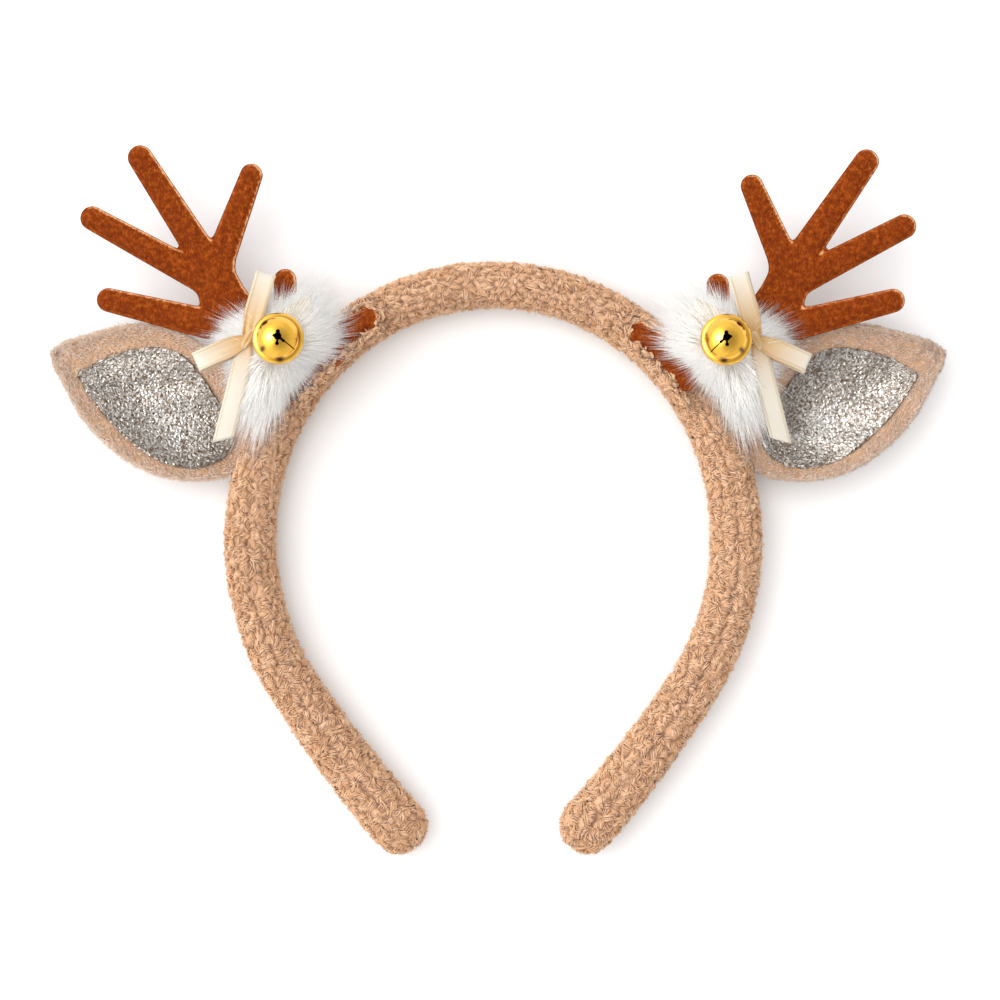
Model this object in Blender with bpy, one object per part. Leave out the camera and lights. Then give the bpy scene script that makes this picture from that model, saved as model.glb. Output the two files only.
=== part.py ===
"""A reindeer antler headband, lying flat on the back edge of its band.

Lengths in the tables are millimetres and become metres through MM. X runs across the band,
+Y points to the crown, +Z is up and faces the front of the headband. The origin is the middle of the
bounding box at the surface that the band rests on.

Each side is modelled in outward coordinates, where x is the distance from the middle of its cluster,
and finish_side puts it in place and turns it over for the left.
"""

import math

import bmesh
import bpy
from mathutils import Matrix, Vector

MM = 0.001
GAP = 0.3
ORIGIN_Y = 1.1

# Band: a plush roll along an elliptical crown, a lower arc and a straight leg on each side
BAND_SHIFT = -1.4
BAND_HALF_SPAN = 72.9
BAND_CROWN_RISE = 76.5
BAND_WIDEST_Y = -12.0
BAND_LOWER_RADIUS = 81.0
BAND_LOWER_TURN = math.radians(36.3)
BAND_LEG_TURN = (math.radians(33.5), math.radians(41.5))
BAND_LEG_LENGTH = 47.2
BAND_CROWN_HALF = 7.5
BAND_SIDE_HALF = 8.3
BAND_END_HALF = 9.1
BAND_DEPTH = 20.0
BAND_SIDES = 16
BAND_SOLE_REACH = 1.09
CREASE_DEPTH = 0.9
CREASE_TOP_Y = 12.0
CREASE_FADE = 16.0

# Antlers: padded velour plates, each a foot on the band's front with a trunk and five tines
ANTLER_BASE_Z = BAND_DEPTH + GAP
ANTLER_MID_Z = 22.35
FOOT_HALF_WIDTH = 3.5
FOOT_THICK = 3.7
FOOT_END_X = 57.0
LIMB_SIDES = 8
TINES = [
    dict(left=(106.8, 100.9), right=(107.6, 100.0), tip_half=3.65, root=(87.6, 71.0), half=4.5, thick=3.9),
    dict(left=(74.0, 95.8), right=(73.8, 92.9), tip_half=3.3, root=(83.2, 71.0), half=4.4, thick=3.8),
    dict(left=(120.9, 83.0), right=(118.7, 80.9), tip_half=3.55, root=(86.2, 64.0), half=4.4, thick=3.7),
    dict(left=(116.1, 58.9), right=(115.4, 59.0), tip_half=3.5, root=(87.0, 51.9), half=4.5, thick=3.85),
    dict(left=(64.0, 64.8), right=(63.7, 63.7), tip_half=3.25, root=(64.2, 49.0), half=3.8, thick=3.6),
]
TRUNK = [
    dict(at=(85.6, 69.0), half=5.9),
    dict(at=(82.6, 60.0), half=6.3),
    dict(at=(75.4, 51.0), half=7.0),
    dict(at=(62.6, 45.0), half=6.5),
    dict(at=(50.5, 43.6), half=4.6),
]
TRUNK_THICK = 4.0

# Ears: cupped plush leaves that grow from the outer side of the band, and their glitter panels
EAR_BASE = (74.8, 20.7)
EAR_LEAN = math.radians(21.9)
EAR_WALL = 3.0
EAR_COLUMNS = 10
EAR_GAP = 0.5
EAR_SECTIONS = [
    dict(along=0.0, upper=9.8, lower=-14.6, spine=10.2, rise=3.6),
    dict(along=5.0, upper=12.6, lower=-18.0, spine=10.3, rise=5.4),
    dict(along=11.0, upper=15.3, lower=-20.6, spine=10.6, rise=7.2),
    dict(along=18.0, upper=17.8, lower=-22.2, spine=11.0, rise=8.2),
    dict(along=27.0, upper=19.8, lower=-22.1, spine=11.6, rise=8.2),
    dict(along=35.0, upper=19.4, lower=-20.2, spine=12.3, rise=7.2),
    dict(along=42.0, upper=17.2, lower=-17.5, spine=13.0, rise=5.8),
    dict(along=48.0, upper=13.7, lower=-14.0, spine=13.6, rise=4.4),
    dict(along=53.5, upper=9.7, lower=-9.6, spine=14.2, rise=3.0),
    dict(along=57.5, upper=6.6, lower=-6.1, spine=14.6, rise=2.0),
    dict(along=60.2, upper=3.7, lower=-3.4, spine=14.9, rise=1.2),
    dict(along=61.9, upper=1.4, lower=-1.2, spine=15.0, rise=0.7),
]
PANEL_SECTIONS = [
    dict(along=2.6, upper=-4.0, lower=-7.4),
    dict(along=4.4, upper=-1.6, lower=-11.2),
    dict(along=8.0, upper=1.8, lower=-14.9),
    dict(along=13.0, upper=6.2, lower=-17.2),
    dict(along=19.0, upper=10.3, lower=-18.1),
    dict(along=24.0, upper=13.1, lower=-17.8),
    dict(along=29.0, upper=13.8, lower=-16.7),
    dict(along=34.0, upper=12.8, lower=-14.9),
    dict(along=39.0, upper=10.6, lower=-12.8),
    dict(along=44.0, upper=7.2, lower=-10.1),
    dict(along=48.5, upper=3.1, lower=-7.0),
    dict(along=51.5, upper=-0.9, lower=-4.6),
    dict(along=52.9, upper=-2.5, lower=-3.6),
]
PANEL_WALL = 0.9
PANEL_GAP = 0.4
PANEL_COLUMNS = 8

# Fur tuft: locks that spread from a core over the antler's trunk, with a well for the bell's shank
FUR_CENTRE = (66.0, 44.6)
FUR_FLOOR = 24.65
FUR_CORE_RADIUS = 11.5
FUR_CORE_HEIGHT = 3.2
FUR_LOCK_SIDES = 5
FUR_LOCKS = [
    dict(bearing=0, reach=17.5, thick=3.2),
    dict(bearing=20, reach=20.5, thick=3.1),
    dict(bearing=40, reach=22.0, thick=3.1),
    dict(bearing=61, reach=17.5, thick=3.2),
    dict(bearing=83, reach=16.5, thick=3.2),
    dict(bearing=105, reach=19.0, thick=3.2),
    dict(bearing=124, reach=22.0, thick=3.2),
    dict(bearing=142, reach=23.5, thick=3.2),
    dict(bearing=160, reach=24.0, thick=3.2),
    dict(bearing=180, reach=20.0, thick=3.2),
    dict(bearing=203, reach=15.5, thick=3.2),
    dict(bearing=228, reach=15.5, thick=3.2),
    dict(bearing=248, reach=19.0, thick=3.3),
    dict(bearing=264, reach=24.0, thick=3.4),
    dict(bearing=278, reach=28.5, thick=3.4),
    dict(bearing=293, reach=27.0, thick=3.3),
    dict(bearing=312, reach=21.0, thick=3.2),
    dict(bearing=336, reach=17.5, thick=3.2),
]
FUR_LOCK_SWAY = 6.0

# Bow: one satin ribbon tied in two loops and two tails
RIBBON_WIDTH = 5.8
RIBBON_WALL = 0.8
LOOP_NECK = 0.6
KNOT_AT = (74.4, 46.8, 30.0)
KNOT_SIZE = (4.2, 6.0, 3.4)
KNOT_TURN = math.radians(14.0)
LOOPS = [
    dict(start=(73.9, 48.6, 30.0), end=(69.0, 66.0, 30.4), puff=1.25),
    dict(start=(75.6, 46.2, 30.0), end=(89.6, 40.1, 29.0), puff=1.15),
]
TAILS = [
    dict(path=[(75.0, 45.4, 29.6), (76.6, 38.0, 29.0), (79.2, 28.0, 27.8), (82.0, 17.6, 25.2)], slant=-1.8),
    dict(path=[(73.6, 48.0, 29.4), (66.4, 51.8, 28.85), (60.9, 54.5, 28.85), (55.7, 56.8, 28.6)], slant=1.0),
]

# Bell: a pressed shell with a cross-shaped mouth, one long slit, a wire shank and a loose pellet
BELL_AT = (64.9, 46.5, 36.8)
BELL_RADIUS = 7.5
BELL_WALL = 0.5
BELL_SEGMENTS = 18
BELL_RINGS = 11
BELL_TILT_Y = math.radians(4.0)
BELL_TILT_IN = math.radians(3.3)
MOUTH_ARM = 1.9
MOUTH_WIDTH = 1.3
SLIT_WIDTH = 0.5
SLIT_REACH = 7.0
SHANK_RADIUS = 1.3
SHANK_WIRE = 0.4
PELLET_RADIUS = 1.9

# The clusters sit a little differently on the two sides, as the real ones do
SIDES = [
    dict(name="left", sign=-1, shift=1.2, lift=0.15, foot=37.4, slit=math.radians(216.0)),
    dict(name="right", sign=1, shift=1.2, lift=-0.15, foot=43.5, slit=math.radians(221.0)),
]

FINISHES = {
    "plush": dict(colour=(0.60, 0.34, 0.19), roughness=0.95, metallic=0.0),
    "ear_plush": dict(colour=(0.57, 0.34, 0.21), roughness=0.9, metallic=0.0),
    "velour": dict(colour=(0.28, 0.06, 0.012), roughness=0.85, metallic=0.0),
    "glitter": dict(colour=(0.62, 0.60, 0.57), roughness=0.35, metallic=0.9),
    "fur": dict(colour=(0.90, 0.89, 0.87), roughness=0.95, metallic=0.0),
    "satin": dict(colour=(0.88, 0.76, 0.58), roughness=0.4, metallic=0.0),
    "gold": dict(colour=(0.86, 0.58, 0.10), roughness=0.12, metallic=1.0),
    "steel": dict(colour=(0.55, 0.55, 0.56), roughness=0.3, metallic=1.0),
}


def make_materials():
    """One Principled BSDF for each finish."""
    made = {}
    for name, look in FINISHES.items():
        material = bpy.data.materials.new(name)
        material.use_nodes = True
        shader = material.node_tree.nodes["Principled BSDF"]
        shader.inputs["Base Color"].default_value = (*look["colour"], 1.0)
        shader.inputs["Roughness"].default_value = look["roughness"]
        shader.inputs["Metallic"].default_value = look["metallic"]
        made[name] = material
    return made


def add_object(name, bm, collection, material=None):
    """Turns a bmesh in millimetres into a named object in metres, about the bounding box's middle."""
    bmesh.ops.translate(bm, vec=(0.0, ORIGIN_Y, 0.0), verts=bm.verts)
    bmesh.ops.scale(bm, vec=(MM, MM, MM), verts=bm.verts)
    mesh = bpy.data.meshes.new(name)
    bm.to_mesh(mesh)
    bm.free()
    if material:
        mesh.materials.append(material)
    mesh.shade_smooth()
    mesh.set_sharp_from_angle(angle=math.radians(40.0))
    obj = bpy.data.objects.new(name, mesh)
    collection.objects.link(obj)
    return obj


def finish_side(bm, side, placed=True):
    """Turns an outward shape over for the left side and moves it to its cluster's place."""
    if side["sign"] < 0:
        bmesh.ops.scale(bm, vec=(-1.0, 1.0, 1.0), verts=bm.verts)
        bmesh.ops.reverse_faces(bm, faces=bm.faces)
    if placed:
        bmesh.ops.translate(bm, vec=(side["shift"], side["lift"], 0.0), verts=bm.verts)
    return bm


def loft(rings, closed=True):
    """A skin through sections with the same number of points, capped when the sections are closed."""
    bm = bmesh.new()
    rows = [[bm.verts.new(point) for point in ring] for ring in rings]
    count = len(rows[0])
    for near, far in zip(rows, rows[1:]):
        for i in range(count if closed else count - 1):
            j = (i + 1) % count
            bm.faces.new((near[i], near[j], far[j], far[i]))
    if closed:
        bm.faces.new(rows[0])
        bm.faces.new(rows[-1])
    bmesh.ops.recalc_face_normals(bm, faces=bm.faces)
    return bm


def merge(target, source):
    """Copies one bmesh into another as a separate shell."""
    carrier = bpy.data.meshes.new("carrier")
    source.to_mesh(carrier)
    source.free()
    target.from_mesh(carrier)
    bpy.data.meshes.remove(carrier)


def add_boolean(obj, other, operation, crossing=False):
    """Joins or cuts obj with a hidden tool object."""
    other.hide_render = True
    other.display_type = "WIRE"
    modifier = obj.modifiers.new(operation.lower(), "BOOLEAN")
    modifier.operation = operation
    modifier.object = other
    modifier.solver = "EXACT"
    modifier.use_self = crossing


def crown_half(share):
    """The roll's half thickness, from the crown at 0 to its widest place at 1."""
    return BAND_CROWN_HALF + (BAND_SIDE_HALF - BAND_CROWN_HALF) * share**2


def band_half_path():
    """Stations (x, y, heading, half_thickness) from the crown to the centre of one leg's round end."""
    stations = []
    crown_steps = 14
    for i in range(crown_steps):
        turn = math.pi / 2 * i / crown_steps
        x = BAND_HALF_SPAN * math.sin(turn)
        y = BAND_WIDEST_Y + BAND_CROWN_RISE * math.cos(turn)
        heading = math.atan2(-BAND_CROWN_RISE * math.sin(turn), BAND_HALF_SPAN * math.cos(turn))
        stations.append((x, y, heading, crown_half(i / crown_steps)))
    arc_steps = 5
    arc_centre = BAND_HALF_SPAN - BAND_LOWER_RADIUS
    for i in range(arc_steps):
        turn = BAND_LOWER_TURN * i / arc_steps
        x = arc_centre + BAND_LOWER_RADIUS * math.cos(turn)
        y = BAND_WIDEST_Y - BAND_LOWER_RADIUS * math.sin(turn)
        stations.append((x, y, -math.pi / 2 - turn, BAND_SIDE_HALF))
    x = arc_centre + BAND_LOWER_RADIUS * math.cos(BAND_LOWER_TURN)
    y = BAND_WIDEST_Y - BAND_LOWER_RADIUS * math.sin(BAND_LOWER_TURN)
    leg_steps = 5
    for i in range(leg_steps + 1):
        share = i / leg_steps
        heading = -math.pi / 2 - BAND_LEG_TURN[0] - (BAND_LEG_TURN[1] - BAND_LEG_TURN[0]) * share
        half = BAND_SIDE_HALF + (BAND_END_HALF - BAND_SIDE_HALF) * share
        stations.append((x, y, heading, half))
        x += BAND_LEG_LENGTH / leg_steps * math.cos(heading)
        y += BAND_LEG_LENGTH / leg_steps * math.sin(heading)
    return stations


def band_section(x, y, heading, half, scale=1.0):
    """One closed section of the plush roll, with a flat sole and, on the legs, a crease along the front."""
    across = Vector((-math.sin(heading), math.cos(heading), 0.0))
    half_depth = BAND_DEPTH / 2
    crease = CREASE_DEPTH * min(1.0, max(0.0, (CREASE_TOP_Y - y) / CREASE_FADE))
    points = []
    for i in range(BAND_SIDES):
        turn = math.pi / 2 + 2 * math.pi * i / BAND_SIDES
        rise = half_depth * math.sin(turn)
        if rise < 0:
            rise = max(-half_depth, rise * BAND_SOLE_REACH)
        if i == 0:
            rise -= crease
        centre = Vector((x + BAND_SHIFT, y, half_depth + rise * scale))
        points.append(centre + across * (half * math.cos(turn) * scale))
    return points


def build_band(collection, material):
    """The plush roll: right half path, mirrored to the left, with round ends."""
    path = band_half_path()
    x, y, heading, half = path[-1]
    ends = []
    for turn in (28, 52, 72):
        run = half * math.sin(math.radians(turn))
        scale = math.cos(math.radians(turn)) ** 0.8
        ends.append((x + run * math.cos(heading), y + run * math.sin(heading), heading, half, scale))
    right = [(*station, 1.0) for station in path] + ends
    left = [(-x, y, -heading, half, scale) for x, y, heading, half, scale in reversed(right[1:])]
    rings = [band_section(*station) for station in left + right]
    return add_object("band", loft(rings), collection, material)


def flat_limb(stations, thick, height):
    """A padded strip with round ends. Stations are (x, y, half_width)."""
    centres = [Vector((x, y)) for x, y, _ in stations]
    rows = []
    for i, (centre, station) in enumerate(zip(centres, stations)):
        before, after = centres[max(0, i - 1)], centres[min(len(centres) - 1, i + 1)]
        rows.append((centre, (after - before).normalized(), station[2], 1.0))
    caps = []
    for (centre, along, half, _), sign in ((rows[0], -1.0), (rows[-1], 1.0)):
        steps = [(centre + along * (sign * half * math.sin(t)), along, half, math.cos(t)) for t in (0.55, 1.0, 1.35)]
        caps.append(steps)
    rings = []
    for centre, along, half, scale in caps[0][::-1] + rows + caps[1]:
        across = Vector((-along.y, along.x, 0.0))
        ring = []
        for i in range(LIMB_SIDES):
            turn = 2 * math.pi * (i + 0.5) / LIMB_SIDES
            point = Vector((centre.x, centre.y, height)) + across * (half * scale * 1.08 * math.cos(turn))
            point.z += thick / 2 * scale**0.5 * math.sin(turn)
            ring.append(point)
        rings.append(ring)
    return loft(rings)


def foot_stations(side):
    """The foot follows the band's front, so its path is moved from the band's middle to the cluster's."""
    offset = side["sign"] * (BAND_SHIFT - side["shift"])
    stations = []
    steps = 5
    for i in range(steps + 1):
        x = side["foot"] + (FOOT_END_X - side["foot"]) * i / steps
        y = BAND_WIDEST_Y + BAND_CROWN_RISE * math.sqrt(1.0 - (x / BAND_HALF_SPAN) ** 2)
        stations.append((x + offset, y - side["lift"], FOOT_HALF_WIDTH))
    return stations


def build_antler(side, collection, tools, material):
    """Trunk, fused with the five tines and the foot."""
    name = f"antler_{side['name']}"
    trunk = flat_limb([(*row["at"], row["half"]) for row in TRUNK], TRUNK_THICK, ANTLER_MID_Z)
    antler = add_object(name, finish_side(trunk, side), collection, material)
    limbs = bmesh.new()
    for row in TINES:
        stations = [(*row[side["name"]], row["tip_half"]), (*row["root"], row["half"])]
        merge(limbs, flat_limb(stations, row["thick"], ANTLER_MID_Z - 0.02))
    merge(limbs, flat_limb(foot_stations(side), FOOT_THICK, ANTLER_BASE_Z + FOOT_THICK / 2))
    add_boolean(antler, add_object(f"{name}_limbs", finish_side(limbs, side), tools), "UNION", crossing=True)


def ear_row(along):
    """The ear's section values at any distance from its base."""
    for near, far in zip(EAR_SECTIONS, EAR_SECTIONS[1:]):
        if along <= far["along"]:
            break
    share = (along - near["along"]) / (far["along"] - near["along"])
    return {key: near[key] + (far[key] - near[key]) * share for key in near}


def ear_point(along, across, lift=0.0):
    """A point of the ear's cupped front, from distances along and across its axis."""
    row = ear_row(along)
    middle = (row["upper"] + row["lower"]) / 2
    half = (row["upper"] - row["lower"]) / 2
    cup = row["rise"] * min(1.0, abs((across - middle) / half)) ** 2
    x = EAR_BASE[0] + along * math.cos(EAR_LEAN) - across * math.sin(EAR_LEAN)
    y = EAR_BASE[1] + along * math.sin(EAR_LEAN) + across * math.cos(EAR_LEAN)
    return Vector((x, y, row["spine"] + cup + lift))


def band_outer_distance(x, y):
    """How far a point of the crown half is outside the band's widest outline."""
    best = 1e9
    for i in range(181):
        turn = math.pi / 2 * i / 180
        here = (BAND_HALF_SPAN * math.sin(turn), BAND_WIDEST_Y + BAND_CROWN_RISE * math.cos(turn))
        best = min(best, math.hypot(x - here[0], y - here[1]) - crown_half(i / 180))
    return best


def ear_root(side, across):
    """How far along its axis the ear must start to clear the band at one column."""
    near, far = -12.0, 12.0
    for _ in range(24):
        middle = (near + far) / 2
        point = ear_point(0.0, across)
        x = point.x + middle * math.cos(EAR_LEAN) - side["sign"] * BAND_SHIFT
        y = point.y + middle * math.sin(EAR_LEAN)
        if band_outer_distance(x, y) < EAR_GAP:
            near = middle
        else:
            far = middle
    return far


def leaf(rings, wall):
    """A solid leaf: each ring runs along the front and returns behind it, with a thinner wall at the rims."""
    closed = []
    for ring in rings:
        count = len(ring) - 1
        back = []
        for i, point in enumerate(ring):
            share = abs(2 * i / count - 1.0)
            back.append(point + Vector((0.0, 0.0, -wall * (1.0 - 0.3 * share**4))))
        closed.append(ring + back[::-1])
    return loft(closed)


def build_ear(side, collection, materials):
    """The plush leaf, whose root follows the band, and the glitter panel on its front."""
    rings = []
    for i, row in enumerate(EAR_SECTIONS):
        step = (row["upper"] - row["lower"]) / EAR_COLUMNS
        ring = []
        for j in range(EAR_COLUMNS + 1):
            across = row["lower"] + step * j
            point = ear_point(row["along"], across)
            if i == 0:
                root = ear_root(side, across)
                point.x += root * math.cos(EAR_LEAN)
                point.y += root * math.sin(EAR_LEAN)
            ring.append(point)
        rings.append(ring)
    ear = finish_side(leaf(rings, EAR_WALL), side, placed=False)
    add_object(f"ear_{side['name']}", ear, collection, materials["ear_plush"])
    rings = []
    for row in PANEL_SECTIONS:
        step = (row["upper"] - row["lower"]) / PANEL_COLUMNS
        across = [row["lower"] + step * i for i in range(PANEL_COLUMNS + 1)]
        rings.append([ear_point(row["along"], place, PANEL_GAP + PANEL_WALL) for place in across])
    panel = finish_side(leaf(rings, PANEL_WALL), side, placed=False)
    add_object(f"ear_panel_{side['name']}", panel, collection, materials["glitter"])


def fur_lock(row):
    """One lock: a soft cone that leaves the core, swells, and sways as it thins to its tip."""
    bearing = math.radians(row["bearing"])
    along = Vector((math.cos(bearing), math.sin(bearing), 0.0))
    across = Vector((-along.y, along.x, 0.0))
    sway = FUR_LOCK_SWAY / 100 * row["reach"]
    rings = []
    for share, swell in ((0.15, 0.85), (0.45, 1.0), (0.78, 0.66), (1.0, 0.07)):
        centre = Vector((*FUR_CENTRE, 0.0)) + along * (row["reach"] * share)
        centre += across * (sway * math.sin(math.pi * share))
        half = row["thick"] / 2 * swell
        centre.z = FUR_FLOOR + max(half, row["thick"] / 2 * (1.0 - share) + 0.5)
        ring = []
        for i in range(FUR_LOCK_SIDES):
            turn = 2 * math.pi * (i + 0.25) / FUR_LOCK_SIDES
            ring.append(centre + across * (1.4 * half * math.cos(turn)) + Vector((0, 0, half * math.sin(turn))))
        rings.append(ring)
    return loft(rings)


def build_fur(side, collection, tools, material):
    """Core and locks fused into one tuft, less the well that the bell's shank sits in."""
    name = f"fur_{side['name']}"
    core = bmesh.new()
    bmesh.ops.create_uvsphere(core, u_segments=14, v_segments=6, radius=1.0)
    bmesh.ops.scale(core, vec=(FUR_CORE_RADIUS, FUR_CORE_RADIUS, FUR_CORE_HEIGHT / 2), verts=core.verts)
    bmesh.ops.translate(core, vec=(*FUR_CENTRE, FUR_FLOOR + FUR_CORE_HEIGHT / 2), verts=core.verts)
    fur = add_object(name, finish_side(core, side), collection, material)
    locks = bmesh.new()
    for row in FUR_LOCKS:
        merge(locks, fur_lock(row))
    add_boolean(fur, add_object(f"{name}_locks", finish_side(locks, side), tools), "UNION", crossing=True)
    well = bmesh.new()
    reach = SHANK_RADIUS + SHANK_WIRE + 0.6
    bmesh.ops.create_cone(
        well, cap_ends=True, cap_tris=False, segments=10, radius1=reach, radius2=reach, depth=BELL_RADIUS * 2
    )
    bmesh.ops.translate(well, vec=(BELL_AT[0], BELL_AT[1], FUR_FLOOR + BELL_RADIUS + 0.5), verts=well.verts)
    add_boolean(fur, add_object(f"{name}_well", finish_side(well, side), tools), "DIFFERENCE")


def ribbon(points, widths, across_at, slant=0.0):
    """A strip of ribbon with a real wall. The far end may be cut at a slant."""
    rings = []
    for i, point in enumerate(points):
        along = (points[min(len(points) - 1, i + 1)] - points[max(0, i - 1)]).normalized()
        across = across_at(along)
        normal = across.cross(along).normalized()
        lead = slant if i == len(points) - 1 else 0.0
        low = point - across * (widths[i] / 2) - along * lead
        high = point + across * (widths[i] / 2) + along * lead
        wall = normal * (RIBBON_WALL / 2)
        rings.append([low - wall, high - wall, high + wall, low + wall])
    return loft(rings)


def bow_loop(row):
    """Out along the underside, round the far end and back along the front."""
    start, end = Vector(row["start"]), Vector(row["end"])
    across = (end - start).cross(Vector((0.0, 0.0, 1.0))).normalized()
    profile = [
        (0.0, -0.5),
        (0.3, -0.95),
        (0.65, -1.0),
        (0.9, -0.85),
        (0.985, -0.45),
        (1.0, 0.0),
        (0.985, 0.45),
        (0.9, 0.85),
        (0.65, 1.0),
        (0.3, 0.95),
        (0.0, 0.5),
    ]
    points = [start.lerp(end, share) + Vector((0.0, 0.0, row["puff"] * height)) for share, height in profile]
    widths = [RIBBON_WIDTH * (LOOP_NECK + (1.0 - LOOP_NECK) * min(1.0, share / 0.5)) for share, _ in profile]
    return ribbon(points, widths, lambda along: across)


def build_bow(side, collection, tools, material):
    """The knot, fused with the loops and tails of the same ribbon."""
    name = f"bow_{side['name']}"
    knot = bmesh.new()
    bmesh.ops.create_cube(knot, size=1.0)
    bmesh.ops.scale(knot, vec=KNOT_SIZE, verts=knot.verts)
    bmesh.ops.bevel(knot, geom=knot.edges, offset=1.1, segments=2, profile=0.5, affect="EDGES", material=-1)
    bmesh.ops.rotate(knot, matrix=Matrix.Rotation(KNOT_TURN, 3, "Z"), verts=knot.verts)
    bmesh.ops.translate(knot, vec=KNOT_AT, verts=knot.verts)
    bow = add_object(name, finish_side(knot, side), collection, material)
    strips = bmesh.new()
    for row in LOOPS:
        merge(strips, bow_loop(row))
    up = Vector((0.0, 0.0, 1.0))
    for row in TAILS:
        points = [Vector(point) for point in row["path"]]
        widths = [RIBBON_WIDTH * LOOP_NECK] + [RIBBON_WIDTH] * (len(points) - 1)
        merge(strips, ribbon(points, widths, lambda along: along.cross(up).normalized(), row["slant"]))
    add_boolean(bow, add_object(f"{name}_strips", finish_side(strips, side), tools), "UNION", crossing=True)


def build_bell(side, collection, tools, materials):
    """The shell with its shank, its mouth and slit cut through, and the pellet inside."""
    name = f"bell_{side['name']}"
    lean = Matrix.Rotation(-BELL_TILT_Y, 4, "X") @ Matrix.Rotation(-BELL_TILT_IN, 4, "Y")
    pose = Matrix.Translation(Vector(BELL_AT)) @ lean
    ball = dict(u_segments=BELL_SEGMENTS, v_segments=BELL_RINGS, matrix=pose)
    shell = bmesh.new()
    bmesh.ops.create_uvsphere(shell, radius=BELL_RADIUS, **ball)
    bell = add_object(name, finish_side(shell, side), collection, materials["gold"])
    shank = bmesh.new()
    profile = bmesh.ops.create_circle(shank, segments=6, radius=SHANK_WIRE)["verts"]
    bmesh.ops.rotate(shank, matrix=Matrix.Rotation(math.pi / 2, 3, "X"), verts=profile)
    bmesh.ops.translate(shank, vec=(SHANK_RADIUS, 0.0, 0.0), verts=profile)
    bmesh.ops.spin(
        shank,
        geom=shank.verts[:] + shank.edges[:],
        axis=(0, 0, 1),
        cent=(0, 0, 0),
        angle=2 * math.pi,
        steps=12,
        use_merge=True,
    )
    bmesh.ops.recalc_face_normals(shank, faces=shank.faces)
    bmesh.ops.rotate(shank, matrix=Matrix.Rotation(math.pi / 2, 3, "X"), verts=shank.verts)
    bmesh.ops.translate(shank, vec=(0.0, 0.0, -BELL_RADIUS - SHANK_WIRE), verts=shank.verts)
    bmesh.ops.transform(shank, matrix=pose, verts=shank.verts)
    add_boolean(bell, add_object(f"{name}_shank", finish_side(shank, side), tools), "UNION")
    hollow = bmesh.new()
    bmesh.ops.create_uvsphere(hollow, radius=BELL_RADIUS - BELL_WALL, **ball)
    add_boolean(bell, add_object(f"{name}_hollow", finish_side(hollow, side), tools), "DIFFERENCE")
    cuts = bmesh.new()
    arms = [
        (2 * MOUTH_ARM, MOUTH_WIDTH, 0.0),
        (MOUTH_WIDTH * 1.02, 2 * MOUTH_ARM, 0.0),
        (SLIT_REACH, SLIT_WIDTH, SLIT_REACH / 2),
    ]
    for length, width, out in arms:
        cut = bmesh.new()
        bmesh.ops.create_cube(cut, size=1.0)
        depth = BELL_RADIUS * (1.05 if out == 0.0 else 1.1)
        bmesh.ops.scale(cut, vec=(length, width, depth), verts=cut.verts)
        bmesh.ops.translate(cut, vec=(out, 0.0, BELL_RADIUS * 0.8), verts=cut.verts)
        bmesh.ops.rotate(cut, matrix=Matrix.Rotation(side["slit"], 3, "Z"), verts=cut.verts)
        bmesh.ops.transform(cut, matrix=pose, verts=cut.verts)
        merge(cuts, cut)
    add_boolean(bell, add_object(f"{name}_cuts", finish_side(cuts, side), tools), "DIFFERENCE", crossing=True)
    pellet = bmesh.new()
    bmesh.ops.create_uvsphere(pellet, u_segments=10, v_segments=7, radius=PELLET_RADIUS)
    drop = BELL_RADIUS - BELL_WALL - PELLET_RADIUS - 0.6
    bmesh.ops.translate(pellet, vec=(BELL_AT[0], BELL_AT[1], BELL_AT[2] - drop), verts=pellet.verts)
    add_object(f"bell_pellet_{side['name']}", finish_side(pellet, side), collection, materials["steel"])


def main():
    """Clears the scene and builds the band, then each side's pieces."""
    for obj in list(bpy.data.objects):
        bpy.data.objects.remove(obj)
    scene = bpy.context.scene
    collection = bpy.data.collections.new("reindeer_antler_headband")
    tools = bpy.data.collections.new("cutters")
    scene.collection.children.link(collection)
    scene.collection.children.link(tools)
    materials = make_materials()
    build_band(collection, materials["plush"])
    for side in SIDES:
        build_antler(side, collection, tools, materials["velour"])
        build_ear(side, collection, materials)
        build_fur(side, collection, tools, materials["fur"])
        build_bow(side, collection, tools, materials["satin"])
        build_bell(side, collection, tools, materials)


main()
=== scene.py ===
"""Dresses the reindeer antler headband in sherpa, velour, glitter cloth, fur, satin ribbon and gold.

Sizes in the tables are millimetres in the frame of the CAD and become metres through MM. Each side is
laid out in outward coordinates, where x is the distance from the middle of its cluster of ornaments.
"""

import logging
import math
from collections.abc import Callable
from dataclasses import dataclass
from enum import Enum

import bmesh
import bpy
import numpy as np
from mathutils import Matrix, Vector, kdtree, noise


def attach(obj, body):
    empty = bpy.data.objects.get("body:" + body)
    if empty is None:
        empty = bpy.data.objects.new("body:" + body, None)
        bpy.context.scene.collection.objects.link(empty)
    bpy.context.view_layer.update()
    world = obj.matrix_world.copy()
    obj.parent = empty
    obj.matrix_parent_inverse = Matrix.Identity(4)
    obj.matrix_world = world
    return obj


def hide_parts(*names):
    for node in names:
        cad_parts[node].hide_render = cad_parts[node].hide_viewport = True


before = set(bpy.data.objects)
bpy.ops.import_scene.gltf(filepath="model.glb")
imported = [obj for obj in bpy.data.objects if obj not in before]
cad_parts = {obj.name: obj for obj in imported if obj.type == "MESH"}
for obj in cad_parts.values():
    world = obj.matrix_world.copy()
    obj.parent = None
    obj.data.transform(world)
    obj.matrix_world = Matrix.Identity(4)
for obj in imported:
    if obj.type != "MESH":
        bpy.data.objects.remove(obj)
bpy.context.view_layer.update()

MM = 0.001
ORIGIN_Y = 1.1
LOG = logging.getLogger("headband")


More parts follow.
